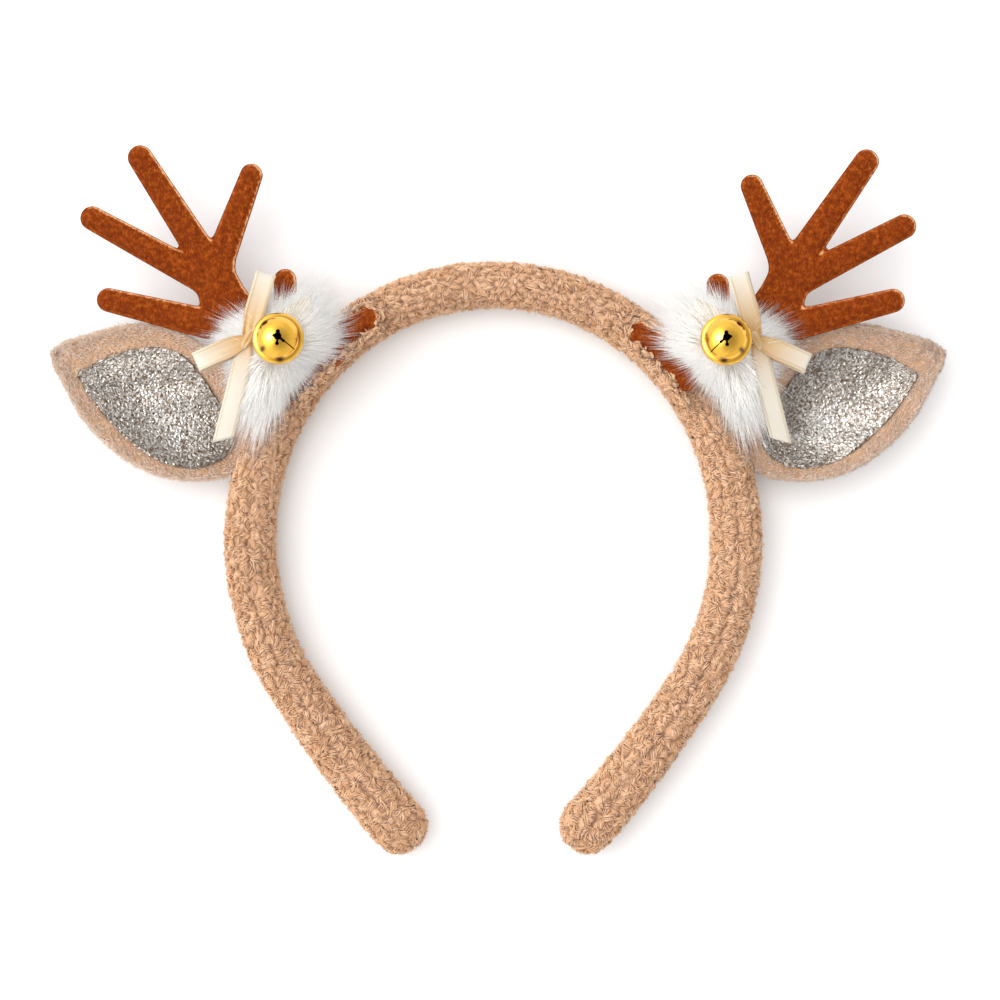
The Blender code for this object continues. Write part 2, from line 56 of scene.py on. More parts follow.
class Side(Enum):
    """Which ear of the wearer a cluster sits over, as seen in the picture."""

    LEFT = -1
    RIGHT = 1

    @property
    def label(self) -> str:
        """The side's name in node and piece names."""
        return self.name.lower()


@dataclass(frozen=True)
class Cluster:
    """How one side's ornaments sit on the band.

    Args:
        side: Left or right.
        shift: How far the cluster is moved to the right, in mm.
        lift: How far it is moved towards the crown, in mm.
        foot: Where the antler's foot starts, as a distance from the band's middle.
        slit: Bearing of the bell's long slit, in degrees, before the side is turned over.
        seed: Seed for everything scattered on this side.
    """

    side: Side
    shift: float
    lift: float
    foot: float
    slit: float
    seed: int


CLUSTERS = (
    Cluster(Side.LEFT, 1.2, 0.15, 37.4, 216.0, 11),
    Cluster(Side.RIGHT, 1.2, -0.15, 43.5, 221.0, 23),
)


def linear(code: str) -> tuple[float, float, float, float]:
    """Turns an sRGB hex colour into linear RGBA.

    Args:
        code: Six hex digits.

    Returns:
        Linear red, green and blue, and an alpha of 1.
    """
    parts = [int(code[i : i + 2], 16) / 255 for i in (0, 2, 4)]
    flat = [c / 12.92 if c <= 0.04045 else ((c + 0.055) / 1.055) ** 2.4 for c in parts]
    return (*flat, 1.0)


def add_node(
    tree: bpy.types.NodeTree, kind: str, links: dict | None = None, **settings
) -> bpy.types.Node:
    """Adds a node with its settings and links.

    Args:
        tree: The node tree.
        kind: The node's bl_idname.
        links: Input name or index to an output socket, or to a plain value.
        **settings: Properties of the node.

    Returns:
        The new node.
    """
    node = tree.nodes.new(kind)
    for key, value in settings.items():
        setattr(node, key, value)
    for key, value in (links or {}).items():
        if isinstance(value, bpy.types.NodeSocket):
            tree.links.new(value, node.inputs[key])
        else:
            node.inputs[key].default_value = value
    return node


def calc(tree: bpy.types.NodeTree, operation: str, *values, **settings) -> bpy.types.NodeSocket:
    """Adds a Math node.

    Args:
        tree: The node tree.
        operation: The node's operation.
        *values: An output socket or a number for each input, in order.
        **settings: Other properties of the node.

    Returns:
        Its output.
    """
    links = dict(enumerate(values))
    return add_node(tree, "ShaderNodeMath", links, operation=operation, **settings).outputs[0]


def add_noise(
    tree: bpy.types.NodeTree, place: bpy.types.NodeSocket, scale: float, detail: float, **others
) -> bpy.types.NodeSocket:
    """Adds a Noise Texture.

    Args:
        tree: The node tree.
        place: Where it is looked up.
        scale: Its scale in that space.
        detail: Its levels of detail.
        **others: Values of its other inputs.

    Returns:
        Its factor.
    """
    links = {"Vector": place, "Scale": scale, "Detail": detail, **others}
    return add_node(tree, "ShaderNodeTexNoise", links).outputs["Fac"]


def add_bump(shader: bpy.types.Node, height: bpy.types.NodeSocket, strength: float, depth: float) -> None:
    """Bends a shader's normals.

    Args:
        shader: The shader node.
        height: The relief.
        strength: How far it counts, from 0 to 1.
        depth: Its depth in metres.
    """
    tree = shader.id_data
    bump = add_node(
        tree, "ShaderNodeBump", {"Height": height, "Strength": strength, "Distance": depth}
    )
    tree.links.new(bump.outputs[0], shader.inputs["Normal"])


def set_ramp(node: bpy.types.Node, stops: list[tuple[float, str]]) -> None:
    """Gives a Color Ramp its stops.

    Args:
        node: The ramp.
        stops: Position and sRGB hex of each stop, in order.
    """
    elements = node.color_ramp.elements
    while len(elements) < len(stops):
        elements.new(0.5)
    for element, (place, code) in zip(elements, stops):
        element.position = place
        element.color = linear(code)


def base_material(name: str, **sockets) -> tuple[bpy.types.Material, bpy.types.Node]:
    """A new material with its Principled BSDF.

    Args:
        name: Name of the real material.
        **sockets: Values for the shader's sockets, with underscores for spaces.

    Returns:
        The material and its shader node.
    """
    material = bpy.data.materials.new(name)
    material.use_nodes = True
    shader = material.node_tree.nodes["Principled BSDF"]
    for key, value in sockets.items():
        shader.inputs[key.replace("_", " ")].default_value = value
    return material, shader


@dataclass(frozen=True)
class PileFinish:
    """Synthetic pile: each fibre is matt, and darker at its root than at its tip.

    Args:
        name: The material's name.
        stops: Colours from root to tip.
        patch: Size of the soft colour patches, in mm.
        patch_strength: How far the patches move the tone.
        sheen: Sheen weight, for the light edge that raised fibres give.
        glow: Painted light: the fibres glow a little in their own colour, standing in for the light that goes
            on from white hair to white hair, which a few bounces do not reach.
        relief: Depth of the fine unevenness of the fibres, in mm.
        relief_size: Its width, in mm.
    """

    name: str
    stops: tuple[tuple[float, str], ...]
    patch: float
    patch_strength: float
    sheen: float
    glow: float = 0.0
    relief: float = 0.0
    relief_size: float = 0.5

    def build(self) -> bpy.types.Material:
        """Makes the material from the fibres' tone attribute, a soft patch noise and a fine relief."""
        material, shader = base_material(
            self.name,
            Roughness=0.92,
            Sheen_Weight=self.sheen,
            Sheen_Roughness=0.45,
            Specular_IOR_Level=0.25,
            Emission_Strength=self.glow,
        )
        tree = material.node_tree
        tone = add_node(tree, "ShaderNodeAttribute", attribute_name="tone")
        place = add_node(tree, "ShaderNodeTexCoord")
        patches = add_noise(tree, place.outputs["Object"], 1.0 / (self.patch * MM), 3.0)
        centred = calc(tree, "SUBTRACT", patches, 0.5)
        tones = (centred, self.patch_strength, tone.outputs["Fac"])
        moved = calc(tree, "MULTIPLY_ADD", *tones, use_clamp=True)
        ramp = add_node(tree, "ShaderNodeValToRGB", {0: moved})
        set_ramp(ramp, list(self.stops))
        tree.links.new(ramp.outputs["Color"], shader.inputs["Base Color"])
        # Painted light where glow is set: the emission takes the fibre colour, so the pile glows a little.
        tree.links.new(ramp.outputs["Color"], shader.inputs["Emission Color"])
        if self.relief:
            curls = add_noise(tree, place.outputs["Object"], 1.0 / (self.relief_size * MM), 2.0)
            add_bump(shader, curls, 0.8, self.relief * MM)
        return material


# Sherpa: tumbled polyester loop pile, which gives matt curls with soft gaps between them
SHERPA = PileFinish(
    "sherpa_fleece",
    ((0.0, "AC7A50"), (0.35, "D3A47C"), (0.7, "E9C29E"), (1.0, "F7DEC3")),
    6.0,
    0.3,
    0.3,
    relief=0.2,
    relief_size=0.4,
)
# Brushed minky plush: a short pile whose nap falls in light and dark patches
EAR_PLUSH = PileFinish(
    "brushed_minky_plush",
    ((0.0, "A67C5A"), (0.4, "C39C7C"), (0.75, "DAB89D"), (1.0, "EBD2BE")),
    3.2,
    0.5,
    0.35,
    relief=0.12,
    relief_size=0.4,
)
# Faux fox fur: long modacrylic hair, white down to its backing, with a little painted glow
WHITE_FUR = PileFinish(
    "white_faux_fur",
    ((0.0, "EEEBE7"), (0.5, "F6F4F1"), (1.0, "FCFBF9")),
    7.0,
    0.2,
    0.1,
    glow=0.08,
)


@dataclass(frozen=True)
class VelourFinish:
    """Velour over foam: a dense cut pile under a millimetre deep, which lies in brushed patches."""

    name: str = "cut_pile_velour"
    dark: str = "541F04"
    middle: str = "763009"
    light: str = "9E4C14"
    # Top colour of the pale edge line: partly the weld's own colour, partly painted sheen on edges facing
    # right and towards the crown.
    rim: str = "E0A878"
    grain: float = 0.42
    patch: float = 1.6
    grain_share: float = 0.7
    mottle: float = 0.6

    def build(self) -> bpy.types.Material:
        """Makes the velour, with brushed patches, a fine fibre grain and a lighter edge, which is partly the
        welded edge's own colour and partly painted sheen.
        """
        material, shader = base_material(
            self.name,
            Roughness=0.88,
            Sheen_Weight=0.22,
            Sheen_Roughness=0.3,
            Sheen_Tint=linear("E08A35"),
            Specular_IOR_Level=0.1,
        )
        tree = material.node_tree
        place = add_node(tree, "ShaderNodeTexCoord")
        patch = add_noise(tree, place.outputs["Object"], 1 / (self.patch * MM), 5.0, Roughness=0.6)
        stretch = add_node(
            tree, "ShaderNodeMapping", {"Vector": place.outputs["Object"], "Scale": (1.0, 0.45, 1.0)}
        )
        grain = add_noise(tree, stretch.outputs[0], 1 / (self.grain * MM), 2.0)
        tone = add_node(tree, "ShaderNodeAttribute", attribute_name="tone")
        mix = calc(tree, "MULTIPLY_ADD", grain, self.grain_share, patch)
        spread = calc(tree, "MULTIPLY_ADD", mix, self.mottle, tone.outputs["Fac"])
        ramp = add_node(tree, "ShaderNodeValToRGB", {0: spread})
        set_ramp(ramp, [(0.3, self.dark), (0.5, self.middle), (0.66, self.light), (0.9, self.rim)])
        tree.links.new(ramp.outputs["Color"], shader.inputs["Base Color"])
        add_bump(shader, grain, 0.5, 0.4 * MM)
        return material


@dataclass(frozen=True)
class GlitterFinish:
    """Chopped aluminised film on cloth: every flake is a small mirror at its own angle."""

    name: str = "silver_glitter_film"
    dark: str = "3A3029"
    silver: str = "8C867F"
    bright: str = "CBC8C4"
    roughness: float = 0.5

    def build(self) -> bpy.types.Material:
        """Makes the flakes' metal from their tone attribute."""
        material, shader = base_material(self.name, Roughness=self.roughness, Metallic=0.85)
        tree = material.node_tree
        tone = add_node(tree, "ShaderNodeAttribute", attribute_name="tone")
        ramp = add_node(tree, "ShaderNodeValToRGB", {0: tone.outputs["Fac"]})
        set_ramp(ramp, [(0.0, self.dark), (0.2, "7E6F60"), (0.45, self.silver), (1.0, self.bright)])
        tree.links.new(ramp.outputs["Color"], shader.inputs["Base Color"])
        return material


@dataclass(frozen=True)
class SatinFinish:
    """Woven polyester satin: long floats along the ribbon give a soft sheen, with a duller selvedge."""

    name: str = "woven_satin_ribbon"
    cream: str = "D0CABE"
    # Painted shade: a deeper yellow where the ribbon is shaded and lit by light thrown back from the ribbon
    # itself, by the knot and under the loops.
    yellow_shade: str = "B98F4C"
    selvedge: str = "E6DAC2"
    width: float = 5.8
    selvedge_in: float = 0.75

    def build(self) -> bpy.types.Material:
        """Makes the ribbon from its UV map: u runs along it in mm and v across it in mm."""
        material, shader = base_material(
            self.name,
            Roughness=0.42,
            Sheen_Weight=0.25,
            Sheen_Roughness=0.4,
            Anisotropic=0.5,
            Specular_IOR_Level=0.45,
        )
        tree = material.node_tree
        place = add_node(tree, "ShaderNodeUVMap", uv_map="ribbon")
        split = add_node(tree, "ShaderNodeSeparateXYZ", {0: place.outputs[0]})
        across = calc(tree, "ABSOLUTE", split.outputs["Y"])
        share = calc(tree, "DIVIDE", across, self.width / 2)
        woven = add_node(tree, "ShaderNodeValToRGB", {0: share})
        line = 1 - self.selvedge_in / (self.width / 2)
        stops = [
            (0.0, "FFFFFF"),
            (line - 0.07, "FFFFFF"),
            (line, self.selvedge),
            (line + 0.08, "F6F0E4"),
            (1.0, "FFFFFF"),
        ]
        set_ramp(woven, stops)
        # Painted shade: the tone attribute gives how much of the deeper yellow shade colour each place takes.
        yellow_shade = add_node(tree, "ShaderNodeAttribute", attribute_name="tone")
        body = add_node(
            tree,
            "ShaderNodeMix",
            {0: yellow_shade.outputs["Fac"], 6: linear(self.cream), 7: linear(self.yellow_shade)},
            data_type="RGBA",
        )
        whole = add_node(
            tree,
            "ShaderNodeMix",
            {0: 1.0, 6: body.outputs[2], 7: woven.outputs["Color"]},
            data_type="RGBA",
            blend_type="MULTIPLY",
        )
        tree.links.new(whole.outputs[2], shader.inputs["Base Color"])
        stretch = add_node(
            tree, "ShaderNodeMapping", {"Vector": place.outputs[0], "Scale": (0.5, 7.0, 1.0)}
        )
        add_bump(shader, add_noise(tree, stretch.outputs[0], 1.0, 2.0), 0.25, 0.2 * MM)
        return material


@dataclass(frozen=True)
class MetalFinish:
    """Plated or plain metal.

    Args:
        name: The material's name.
        colour: The metal's colour at normal incidence.
        roughness: From a mirror at 0 to matt at 1.
        ripple: Height of the faint unevenness of pressed sheet, in mm.
        lacquer: Weight of the clear lacquer over it.
        dark_reflection_marks: Colour of the painted dark reflections and painted shade in the creases of the
            metal.
    """

    name: str
    colour: str
    roughness: float
    ripple: float = 0.0
    lacquer: float = 0.0
    dark_reflection_marks: str = "4E2808"

    def build(self) -> bpy.types.Material:
        """Makes the metal, with a slow ripple where the sheet was drawn, and painted dark reflections and
        shade in its creases by attribute.
        """
        material, shader = base_material(
            self.name,
            Metallic=1.0,
            Roughness=self.roughness,
            Coat_Weight=self.lacquer,
            Coat_IOR=1.5,
            Coat_Roughness=0.1,
        )
        tree = material.node_tree
        tone = add_node(tree, "ShaderNodeAttribute", attribute_name="tone")
        # Painted dark reflections and shade: the tone attribute mixes in the dark colour at the crimp creases.
        hue = add_node(
            tree,
            "ShaderNodeMix",
            {0: tone.outputs["Fac"], 6: linear(self.colour), 7: linear(self.dark_reflection_marks)},
            data_type="RGBA",
        )
        tree.links.new(hue.outputs[2], shader.inputs["Base Color"])
        place = add_node(tree, "ShaderNodeTexCoord")
        waves = add_noise(tree, place.outputs["Object"], 1 / (3.0 * MM), 2.0)
        add_bump(shader, waves, 0.3, max(self.ripple, 0.001) * MM)
        return material


# Gilt brass under clear lacquer: it mirrors all round it in deep yellow, and lamps show white on top
GOLD = MetalFinish("lacquered_gilt_brass", "EAB234", 0.17, 0.02, 0.7)
# Unplated steel inside the shell, with its colour made far darker than steel as painted shade, so that the
# mouth looks almost black
SHADED_INSIDE_STEEL = MetalFinish("steel_painted_dark_inside", "3B3129", 0.55)
PELLET_STEEL = MetalFinish("rolled_steel_pellet", "6E6A66", 0.35)


def to_world(points: np.ndarray, cluster: Cluster, placed: bool = True) -> np.ndarray:
    """Takes outward coordinates in mm to the frame in metres.

    Args:
        points: Any array whose last axis is x, y, z.
        cluster: The side and its place.
        placed: Whether the cluster's shift and lift apply.

    Returns:
        The same array in metres.
    """
    out = np.array(points, float)
    out[..., 0] *= cluster.side.value
    if placed:
        out[..., 0] += cluster.shift
        out[..., 1] += cluster.lift
    out[..., 1] += ORIGIN_Y
    return out * MM


def turn(vectors: np.ndarray, axis: np.ndarray, angle: np.ndarray) -> np.ndarray:
    """Turns vectors about unit axes by angles, all in arrays of the same length."""
    c, s = np.cos(angle)[:, None], np.sin(angle)[:, None]
    along = np.sum(vectors * axis, axis=1, keepdims=True)
    return vectors * c + np.cross(axis, vectors) * s + axis * along * (1 - c)


def unit(vectors: np.ndarray) -> np.ndarray:
    """Scales each vector to length one."""
    return vectors / np.maximum(np.linalg.norm(vectors, axis=-1, keepdims=True), 1e-9)


def smooth_table(rows: list[tuple[float, ...]], places: np.ndarray) -> np.ndarray:
    """Reads a table at any place with Catmull-Rom curves through its rows.

    Args:
        rows: Each row starts with its place, and the rest are values.
        places: Where to read it.

    Returns:
        One line of values for each place.
    """
    table = np.array(rows, float)
    knots, values = table[:, 0], table[:, 1:]
    slopes = np.gradient(values, knots, axis=0)
    index = np.clip(np.searchsorted(knots, places) - 1, 0, len(knots) - 2)
    span = (knots[index + 1] - knots[index])[:, None]
    t = ((places - knots[index])[:, None] / span).clip(0, 1)
    a, b = values[index], values[index + 1]
    m, n = slopes[index] * span, slopes[index + 1] * span
    return (
        a * (2 * t**3 - 3 * t**2 + 1)
        + m * (t**3 - 2 * t**2 + t)
        + b * (3 * t**2 - 2 * t**3)
        + n * (t**3 - t**2)
    )


def mesh_of_quads(name: str, points: np.ndarray, quads: np.ndarray, tris: np.ndarray) -> bpy.types.Mesh:
    """Joins arrays of points and faces into one mesh.

    Args:
        name: The mesh's name.
        points: Points in metres.
        quads: Four corners a face.
        tris: Three corners a face.

    Returns:
        The mesh, smooth shaded.
    """
    mesh = bpy.data.meshes.new(name)
    mesh.vertices.add(len(points))
    mesh.vertices.foreach_set("co", points.astype(np.float32).ravel())
    corners = np.concatenate([quads.ravel(), tris.ravel()]).astype(np.int32)
    starts = np.concatenate([np.arange(len(quads)) * 4, len(quads) * 4 + np.arange(len(tris)) * 3])
    mesh.loops.add(len(corners))
    mesh.loops.foreach_set("vertex_index", corners)
    mesh.polygons.add(len(starts))
    mesh.polygons.foreach_set("loop_start", starts.astype(np.int32))
    mesh.update(calc_edges=True)
    mesh.shade_smooth()
    return mesh


def set_tone(mesh: bpy.types.Mesh, tones: np.ndarray) -> None:
    """Stores one tone a point, which the materials read."""
    layer = mesh.attributes.new("tone", "FLOAT", "POINT")
    layer.data.foreach_set("value", tones.astype(np.float32))


def take_mesh(bm: bmesh.types.BMesh, name: str) -> bpy.types.Mesh:
    """Turns a finished bmesh into a mesh of that name, and frees it."""
    mesh = bpy.data.meshes.new(name)
    bm.to_mesh(mesh)
    bm.free()
    return mesh


@dataclass
class Strands:
    """Fibres skinned with three sides each and joined as one mesh.

    Args:
        line: The points along every fibre, as fibres by points by three, in metres.
        up: The direction that each fibre's ridge faces.
        radius: Its widest radius in metres.
        tone: Its lightness from 0 to 1.
        widths: Share of the radius at each point but the last, where the fibre closes.
        root_dark: How much darker its root is than its tip.
        floor: No part of it goes below this height.
    """

    line: np.ndarray
    up: np.ndarray
    radius: np.ndarray
    tone: np.ndarray
    widths: tuple[float, ...]
    root_dark: float = 0.3
    floor: float = 0.0002

    def mesh(self, name: str) -> bpy.types.Mesh:
        """Skins the fibres.

        Args:
            name: The mesh's name.

        Returns:
            The joined mesh with its tones.
        """
        line = self.line
        count, stops = line.shape[:2]
        line[..., 2] = np.maximum(line[..., 2], self.floor + self.radius[:, None])
        way = unit(np.gradient(line, axis=1))
        ridge = np.broadcast_to(self.up[:, None], way.shape) + way[..., [1, 2, 0]] * 1e-3
        side = unit(np.cross(way, ridge))
        top = np.cross(side, way)
        width = self.radius[:, None, None] * np.array(self.widths)[None, :, None]
        rings = []
        for corner in (90, 330, 210):
            angle = math.radians(corner)
            offset = side * math.cos(angle) + top * math.sin(angle)
            rings.append(line[:, :-1] + offset[:, :-1] * width)
        body = np.stack(rings, axis=2).reshape(count, -1, 3)
        points = np.concatenate([body, line[:, -1:, :]], axis=1)
        each = points.shape[1]
        quads, tris = [], []
        for s in range(stops - 2):
            for k in range(3):
                n = (k + 1) % 3
                quads.append((s * 3 + k, s * 3 + n, s * 3 + 3 + n, s * 3 + 3 + k))
        last = (stops - 2) * 3
        for k in range(3):
            tris.append((last + k, last + (k + 1) % 3, each - 1))
        tris.append((2, 1, 0))
        shift = np.arange(count)[:, None, None] * each
        along = np.concatenate([np.repeat(np.linspace(0, 1, stops)[:-1], 3), [1.0]])
        tones = self.tone[:, None] - self.root_dark * (1.0 - along[None, :])
        mesh = mesh_of_quads(
            name,
            points.reshape(-1, 3),
            (np.array(quads).reshape(1, -1, 4) + shift).reshape(-1, 4),
            (np.array(tris)[None] + shift).reshape(-1, 3),
        )
        set_tone(mesh, tones.ravel())
        return mesh


def bent_lines(
    roots: np.ndarray,
    start: np.ndarray,
    axis: np.ndarray,
    curl: np.ndarray,
    length: np.ndarray,
    segments: int,
) -> np.ndarray:
    """Centre lines of fibres that bend evenly about an axis from root to tip.

    Args:
        roots: Where each fibre starts.
        start: Its first direction.
        axis: The unit axis that it bends about.
        curl: The angle between its root and its tip.
        length: Its length.
        segments: Stretches along it.

    Returns:
        Fibres by points by three.
    """
    here = roots.copy()
    rows = [here.copy()]
    for i in range(segments):
        way = turn(start, axis, curl * ((i + 0.5) / segments))
        here = here + way * (length / segments)[:, None]
        rows.append(here.copy())
    return np.stack(rows, axis=1)


def add_piece(
    name: str,
    mesh: bpy.types.Mesh,
    material: bpy.types.Material,
    nodes: tuple[str, ...] = (),
) -> bpy.types.Object:
    """Links a finished mesh as a piece that rides on the headband.

    Args:
        name: The piece's name.
        mesh: Its mesh, in place.
        material: Its finish.
        nodes: CAD nodes that it stands for.

    Returns:
        The object.
    """
    if not mesh.materials:
        mesh.materials.append(material)
    piece = bpy.data.objects.new(name, mesh)
    bpy.context.scene.collection.objects.link(piece)
    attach(piece, "root")
    if nodes:
        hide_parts(*nodes)
    mesh.calc_loop_triangles()
    LOG.info("%s: %d triangles", name, len(mesh.loop_triangles))
    return piece


def grid_mesh(
    name: str,
    columns: int,
    rows: int,
    shape: Callable[[np.ndarray, np.ndarray], np.ndarray],
    merge: float = 0.0,
    tone: Callable[[np.ndarray, np.ndarray], np.ndarray] | None = None,
) -> bpy.types.Mesh:
    """Wraps a flat grid over a surface.

    Args:
        name: The mesh's name.
        columns: Steps along u.
        rows: Steps along v.
        shape: Function of arrays u and v, each from 0 to 1, that gives points in metres.
        merge: Distance within which edges that meet are closed. Ends that stay open are then filled.
        tone: Function of u and v that gives the tone attribute.

    Returns:
        The mesh, smooth shaded, with its normals outwards.
    """
    bm = bmesh.new()
    bmesh.ops.create_grid(bm, x_segments=columns, y_segments=rows, size=0.5)
    flat = np.array([v.co for v in bm.verts])
    u, v = flat[:, 0] + 0.5, flat[:, 1] + 0.5
    layer = bm.verts.layers.float.new("tone")
    tones = np.full(len(flat), 0.5) if tone is None else tone(u, v)
    for vert, point, value in zip(bm.verts, shape(u, v), tones):
        vert.co = point
        vert[layer] = value
    if merge:
        bmesh.ops.remove_doubles(bm, verts=bm.verts, dist=merge)
        bmesh.ops.holes_fill(bm, edges=bm.edges)
        bmesh.ops.recalc_face_normals(bm, faces=bm.faces)
    mesh = take_mesh(bm, name)
    mesh.shade_smooth()
    return mesh


@dataclass
class PileRoll:
    """A roll covered with sherpa locks, laid along a level path.

    Args:
        line: Rows of run, x, y, heading, half width and half depth, in mm.
        level: The height of its axis.
        wrap_radius: The radius that turns an angle round it into a distance.
        crease: How deep the seam down the front of its lower part is.
        lowest: The least sine of the angle at which a lock starts.
    """

    line: np.ndarray
    level: float
    wrap_radius: float
    crease: float = 0.0
    lowest: float = -1.0
    pile: float = 1.6
    lock_spacing: float = 2.1
    lock_half: float = 0.95
    lock_length: tuple[float, float] = (2.8, 4.2)
    lock_height: tuple[float, float] = (0.7, 1.35)
    fibres: int = 5
    fibre_radius: float = 0.28
    jitter: float = 0.24
    bearing_spread: float = 0.55
    loose_share: float = 0.2
    core_step: float = 0.9
    swell_high: float = 0.6
    swell_low: float = 0.3
    swell_width: float = 0.9
    tip_gather: float = 0.6
    # Painted shade: the core under the locks is darker than the fibres, standing in for the shade deep in the
    # pile.
    core_shade: float = 0.3
    fibre_tone: float = 0.66
    fringe_tone: float = 0.85
    weld: float = 0.00005

    @property
    def length(self) -> float:
        """The path's length in mm."""
        return float(self.line[-1, 0])

    @property
    def end_half(self) -> float:
        """The half width at its ends, which is also how far its round ends reach."""
        return float(self.line[-1, 4])

    def surface(self, run: np.ndarray, angle: np.ndarray, inset: float) -> tuple[np.ndarray, np.ndarray]:
        """Points of the roll and their outward normals.

        Args:
            run: Distance along the path in mm. Beyond either end it goes over the round end.
            angle: Angle round the roll: 0 is to the left of the path, and a quarter turn is the front.
            inset: How far under the pile's outside, in mm.

        Returns:
            Points in mm and unit normals.
        """
        inside = run.clip(0, self.length)
        columns = self.line[:, 1:].T
        x, y, heading, half, depth = (np.interp(inside, self.line[:, 0], column) for column in columns)
        over = (run - inside) / half
        lean = np.clip(np.abs(over), 0, 1) * math.pi / 2
        scale = np.cos(lean) ** 0.8
        ahead = np.sign(over) * np.sin(lean)
        reach, tall = half - inset, depth - inset
        c, s = np.cos(angle), np.sin(angle)
        rise = np.maximum(tall * s * np.where(s < 0, 1.08, 1.0), -tall)
        along = np.stack([np.cos(heading), np.sin(heading)], axis=1)
        across = np.stack([-along[:, 1], along[:, 0]], axis=1)
        flat = np.stack([x, y], axis=1) + along * (ahead * reach)[:, None]
        flat = flat + across * (reach * c * scale)[:, None]
        seam = self.crease * np.clip((13.0 - y) / 16.0, 0, 1)
        seam = seam * np.exp(-(((angle - math.pi / 2) / 0.16) ** 2))
        height = self.level + rise * scale - seam
        normal = np.column_stack([across * (c * scale)[:, None] + along * ahead[:, None], s * scale])
        return np.column_stack([flat, height]), unit(normal)

    def locks(self, rng: np.random.Generator) -> np.ndarray:
        """Scatters the locks on a jittered grid.

        Args:
            rng: The source of chance.

        Returns:
            Rows of run, angle, bearing, sideways curl, length and height. A bearing of 0 is along
            the roll.
        """
        rows = []
        reach = self.end_half * 0.97
        count = int((self.length + 2 * reach) / self.lock_spacing)
        for i in range(count):
            run = -reach + (i + 0.5) * (self.length + 2 * reach) / count
            over = max(0.0, -run, run - self.length) / self.end_half
            ring = 2 * math.pi * self.wrap_radius * math.sqrt(max(0.05, 1 - over**2))
            around = max(3, int(ring / self.lock_spacing))
            first = rng.uniform(0, 2 * math.pi)
            rows += [(run, (first + 2 * math.pi * j / around) % (2 * math.pi)) for j in range(around)]
        place = np.array(rows)
        apart = (self.jitter, self.jitter / self.wrap_radius)
        place += rng.normal(0, 1, place.shape) * self.lock_spacing * apart
        height = np.sin(place[:, 1])
        under = (height < -0.5) & (rng.uniform(0, 1, len(place)) < 0.5)
        place = place[~under & (height >= self.lowest)]
        count = len(place)
        away = np.where(np.cos(place[:, 1]) > 0, -math.pi / 2, math.pi / 2)
        bearing = away + rng.normal(0, self.bearing_spread, count)
        loose = rng.uniform(0, 1, count) < self.loose_share
        bearing = np.where(loose, rng.uniform(0, 2 * math.pi, count), bearing)
        length = rng.uniform(*self.lock_length, count)
        way = np.column_stack([np.cos(bearing), np.sin(bearing) / self.wrap_radius])
        place -= way * length[:, None] * 0.3
        centre_y = np.interp(place[:, 0], self.line[:, 0], self.line[:, 2])
        sideways = rng.normal(0, 1, count) * np.interp(centre_y, (-20, 50), (0.8, 1.6))
        return np.column_stack(
            [
                place,
                bearing,
                sideways,
                length,
                rng.uniform(*self.lock_height, count),
            ]
        )

    def core(self, name: str, locks: np.ndarray) -> bpy.types.Mesh:
        """The roll under the pile, with a swelling under every lock.

        Args:
            name: The mesh's name.
            locks: The locks that lie on it.

        Returns:
            The closed mesh.
        """
        reach = self.end_half * 0.999
        tree = kdtree.KDTree(len(locks))
        middle = locks[:, 4] * 0.4
        centre_run = locks[:, 0] + np.cos(locks[:, 2]) * middle
        centre_angle = locks[:, 1] + np.sin(locks[:, 2]) * middle / self.wrap_radius
        centres, _ = self.surface(centre_run, centre_angle, self.pile)
        for index, centre in enumerate(centres):
            tree.insert(centre, index)
        tree.balance()

        def shape(u: np.ndarray, v: np.ndarray) -> np.ndarray:
            run = -reach + u * (self.length + 2 * reach)
            points, normal = self.surface(run, v * 2 * math.pi, self.pile)
            gap = np.array([tree.find(point)[2] for point in points])
            swell = self.swell_high * np.exp(-((gap / self.swell_width) ** 2)) - self.swell_low
            swell = swell * (normal[:, 2] > -0.9)
            return (points + normal * swell[:, None]) * MM

        columns = int(self.length / self.core_step)
        rows = int(2 * math.pi * self.wrap_radius / self.core_step)
        mesh = grid_mesh(name, columns, rows, shape, self.weld)
        # Painted shade: the core is toned darker than the fibres, as the shade deep in the pile.
        set_tone(mesh, np.full(len(mesh.vertices), self.core_shade))
        return mesh

    def lock_fibres(self, locks: np.ndarray, rng: np.random.Generator) -> Strands:
        """Lays the fibres of each lock side by side, drawn together at the tip and turned over."""
        count = len(locks)
        many = np.repeat(np.arange(count), self.fibres)
        total = len(many)
        lane = np.tile(np.linspace(-1, 1, self.fibres), count) + rng.normal(0, 0.12, total)
        run, angle, bearing, sideways, length, height = locks[many].T
        bearing = bearing + rng.normal(0, 0.12, total)
        length = length * rng.uniform(0.82, 1.12, total)
        height = height * rng.uniform(0.85, 1.12, total)
        s, t = run, angle * self.wrap_radius
        rows = []
        before = 0.0
        for share in (0.0, 0.38, 0.78, 1.0):
            heading = bearing + sideways * (share + before) / 2
            s = s + np.cos(heading) * length * (share - before)
            t = t + np.sin(heading) * length * (share - before)
            before = share
            spread = lane * self.lock_half * (1 - self.tip_gather * share**1.5)
            rise = height * (0.12 + 0.92 * math.sin(math.pi * min(share, 0.97) ** 0.8) ** 0.85)
            rise = rise * (1 - 0.3 * lane**2)
            at_run = (s - np.sin(heading) * spread).clip(-self.end_half, self.length + self.end_half)
            at_angle = (t + np.cos(heading) * spread) / self.wrap_radius
            points, normal = self.surface(at_run, at_angle, self.pile - rise)
            rows.append(points)
        sole = normal[:, 2] < -0.85
        tone = self.fibre_tone + rng.normal(0, 0.07, count)[many]
        tone = tone + rng.normal(0, 0.08, total) - 0.05 * np.abs(lane)
        return Strands(
            line=np.stack(rows, axis=1) * MM,
            up=normal,
            radius=self.fibre_radius * rng.uniform(0.8, 1.2, total) * np.where(sole, 0.7, 1.0) * MM,
            tone=tone,
            widths=(0.85, 1.0, 0.85),
            root_dark=0.28,
        )

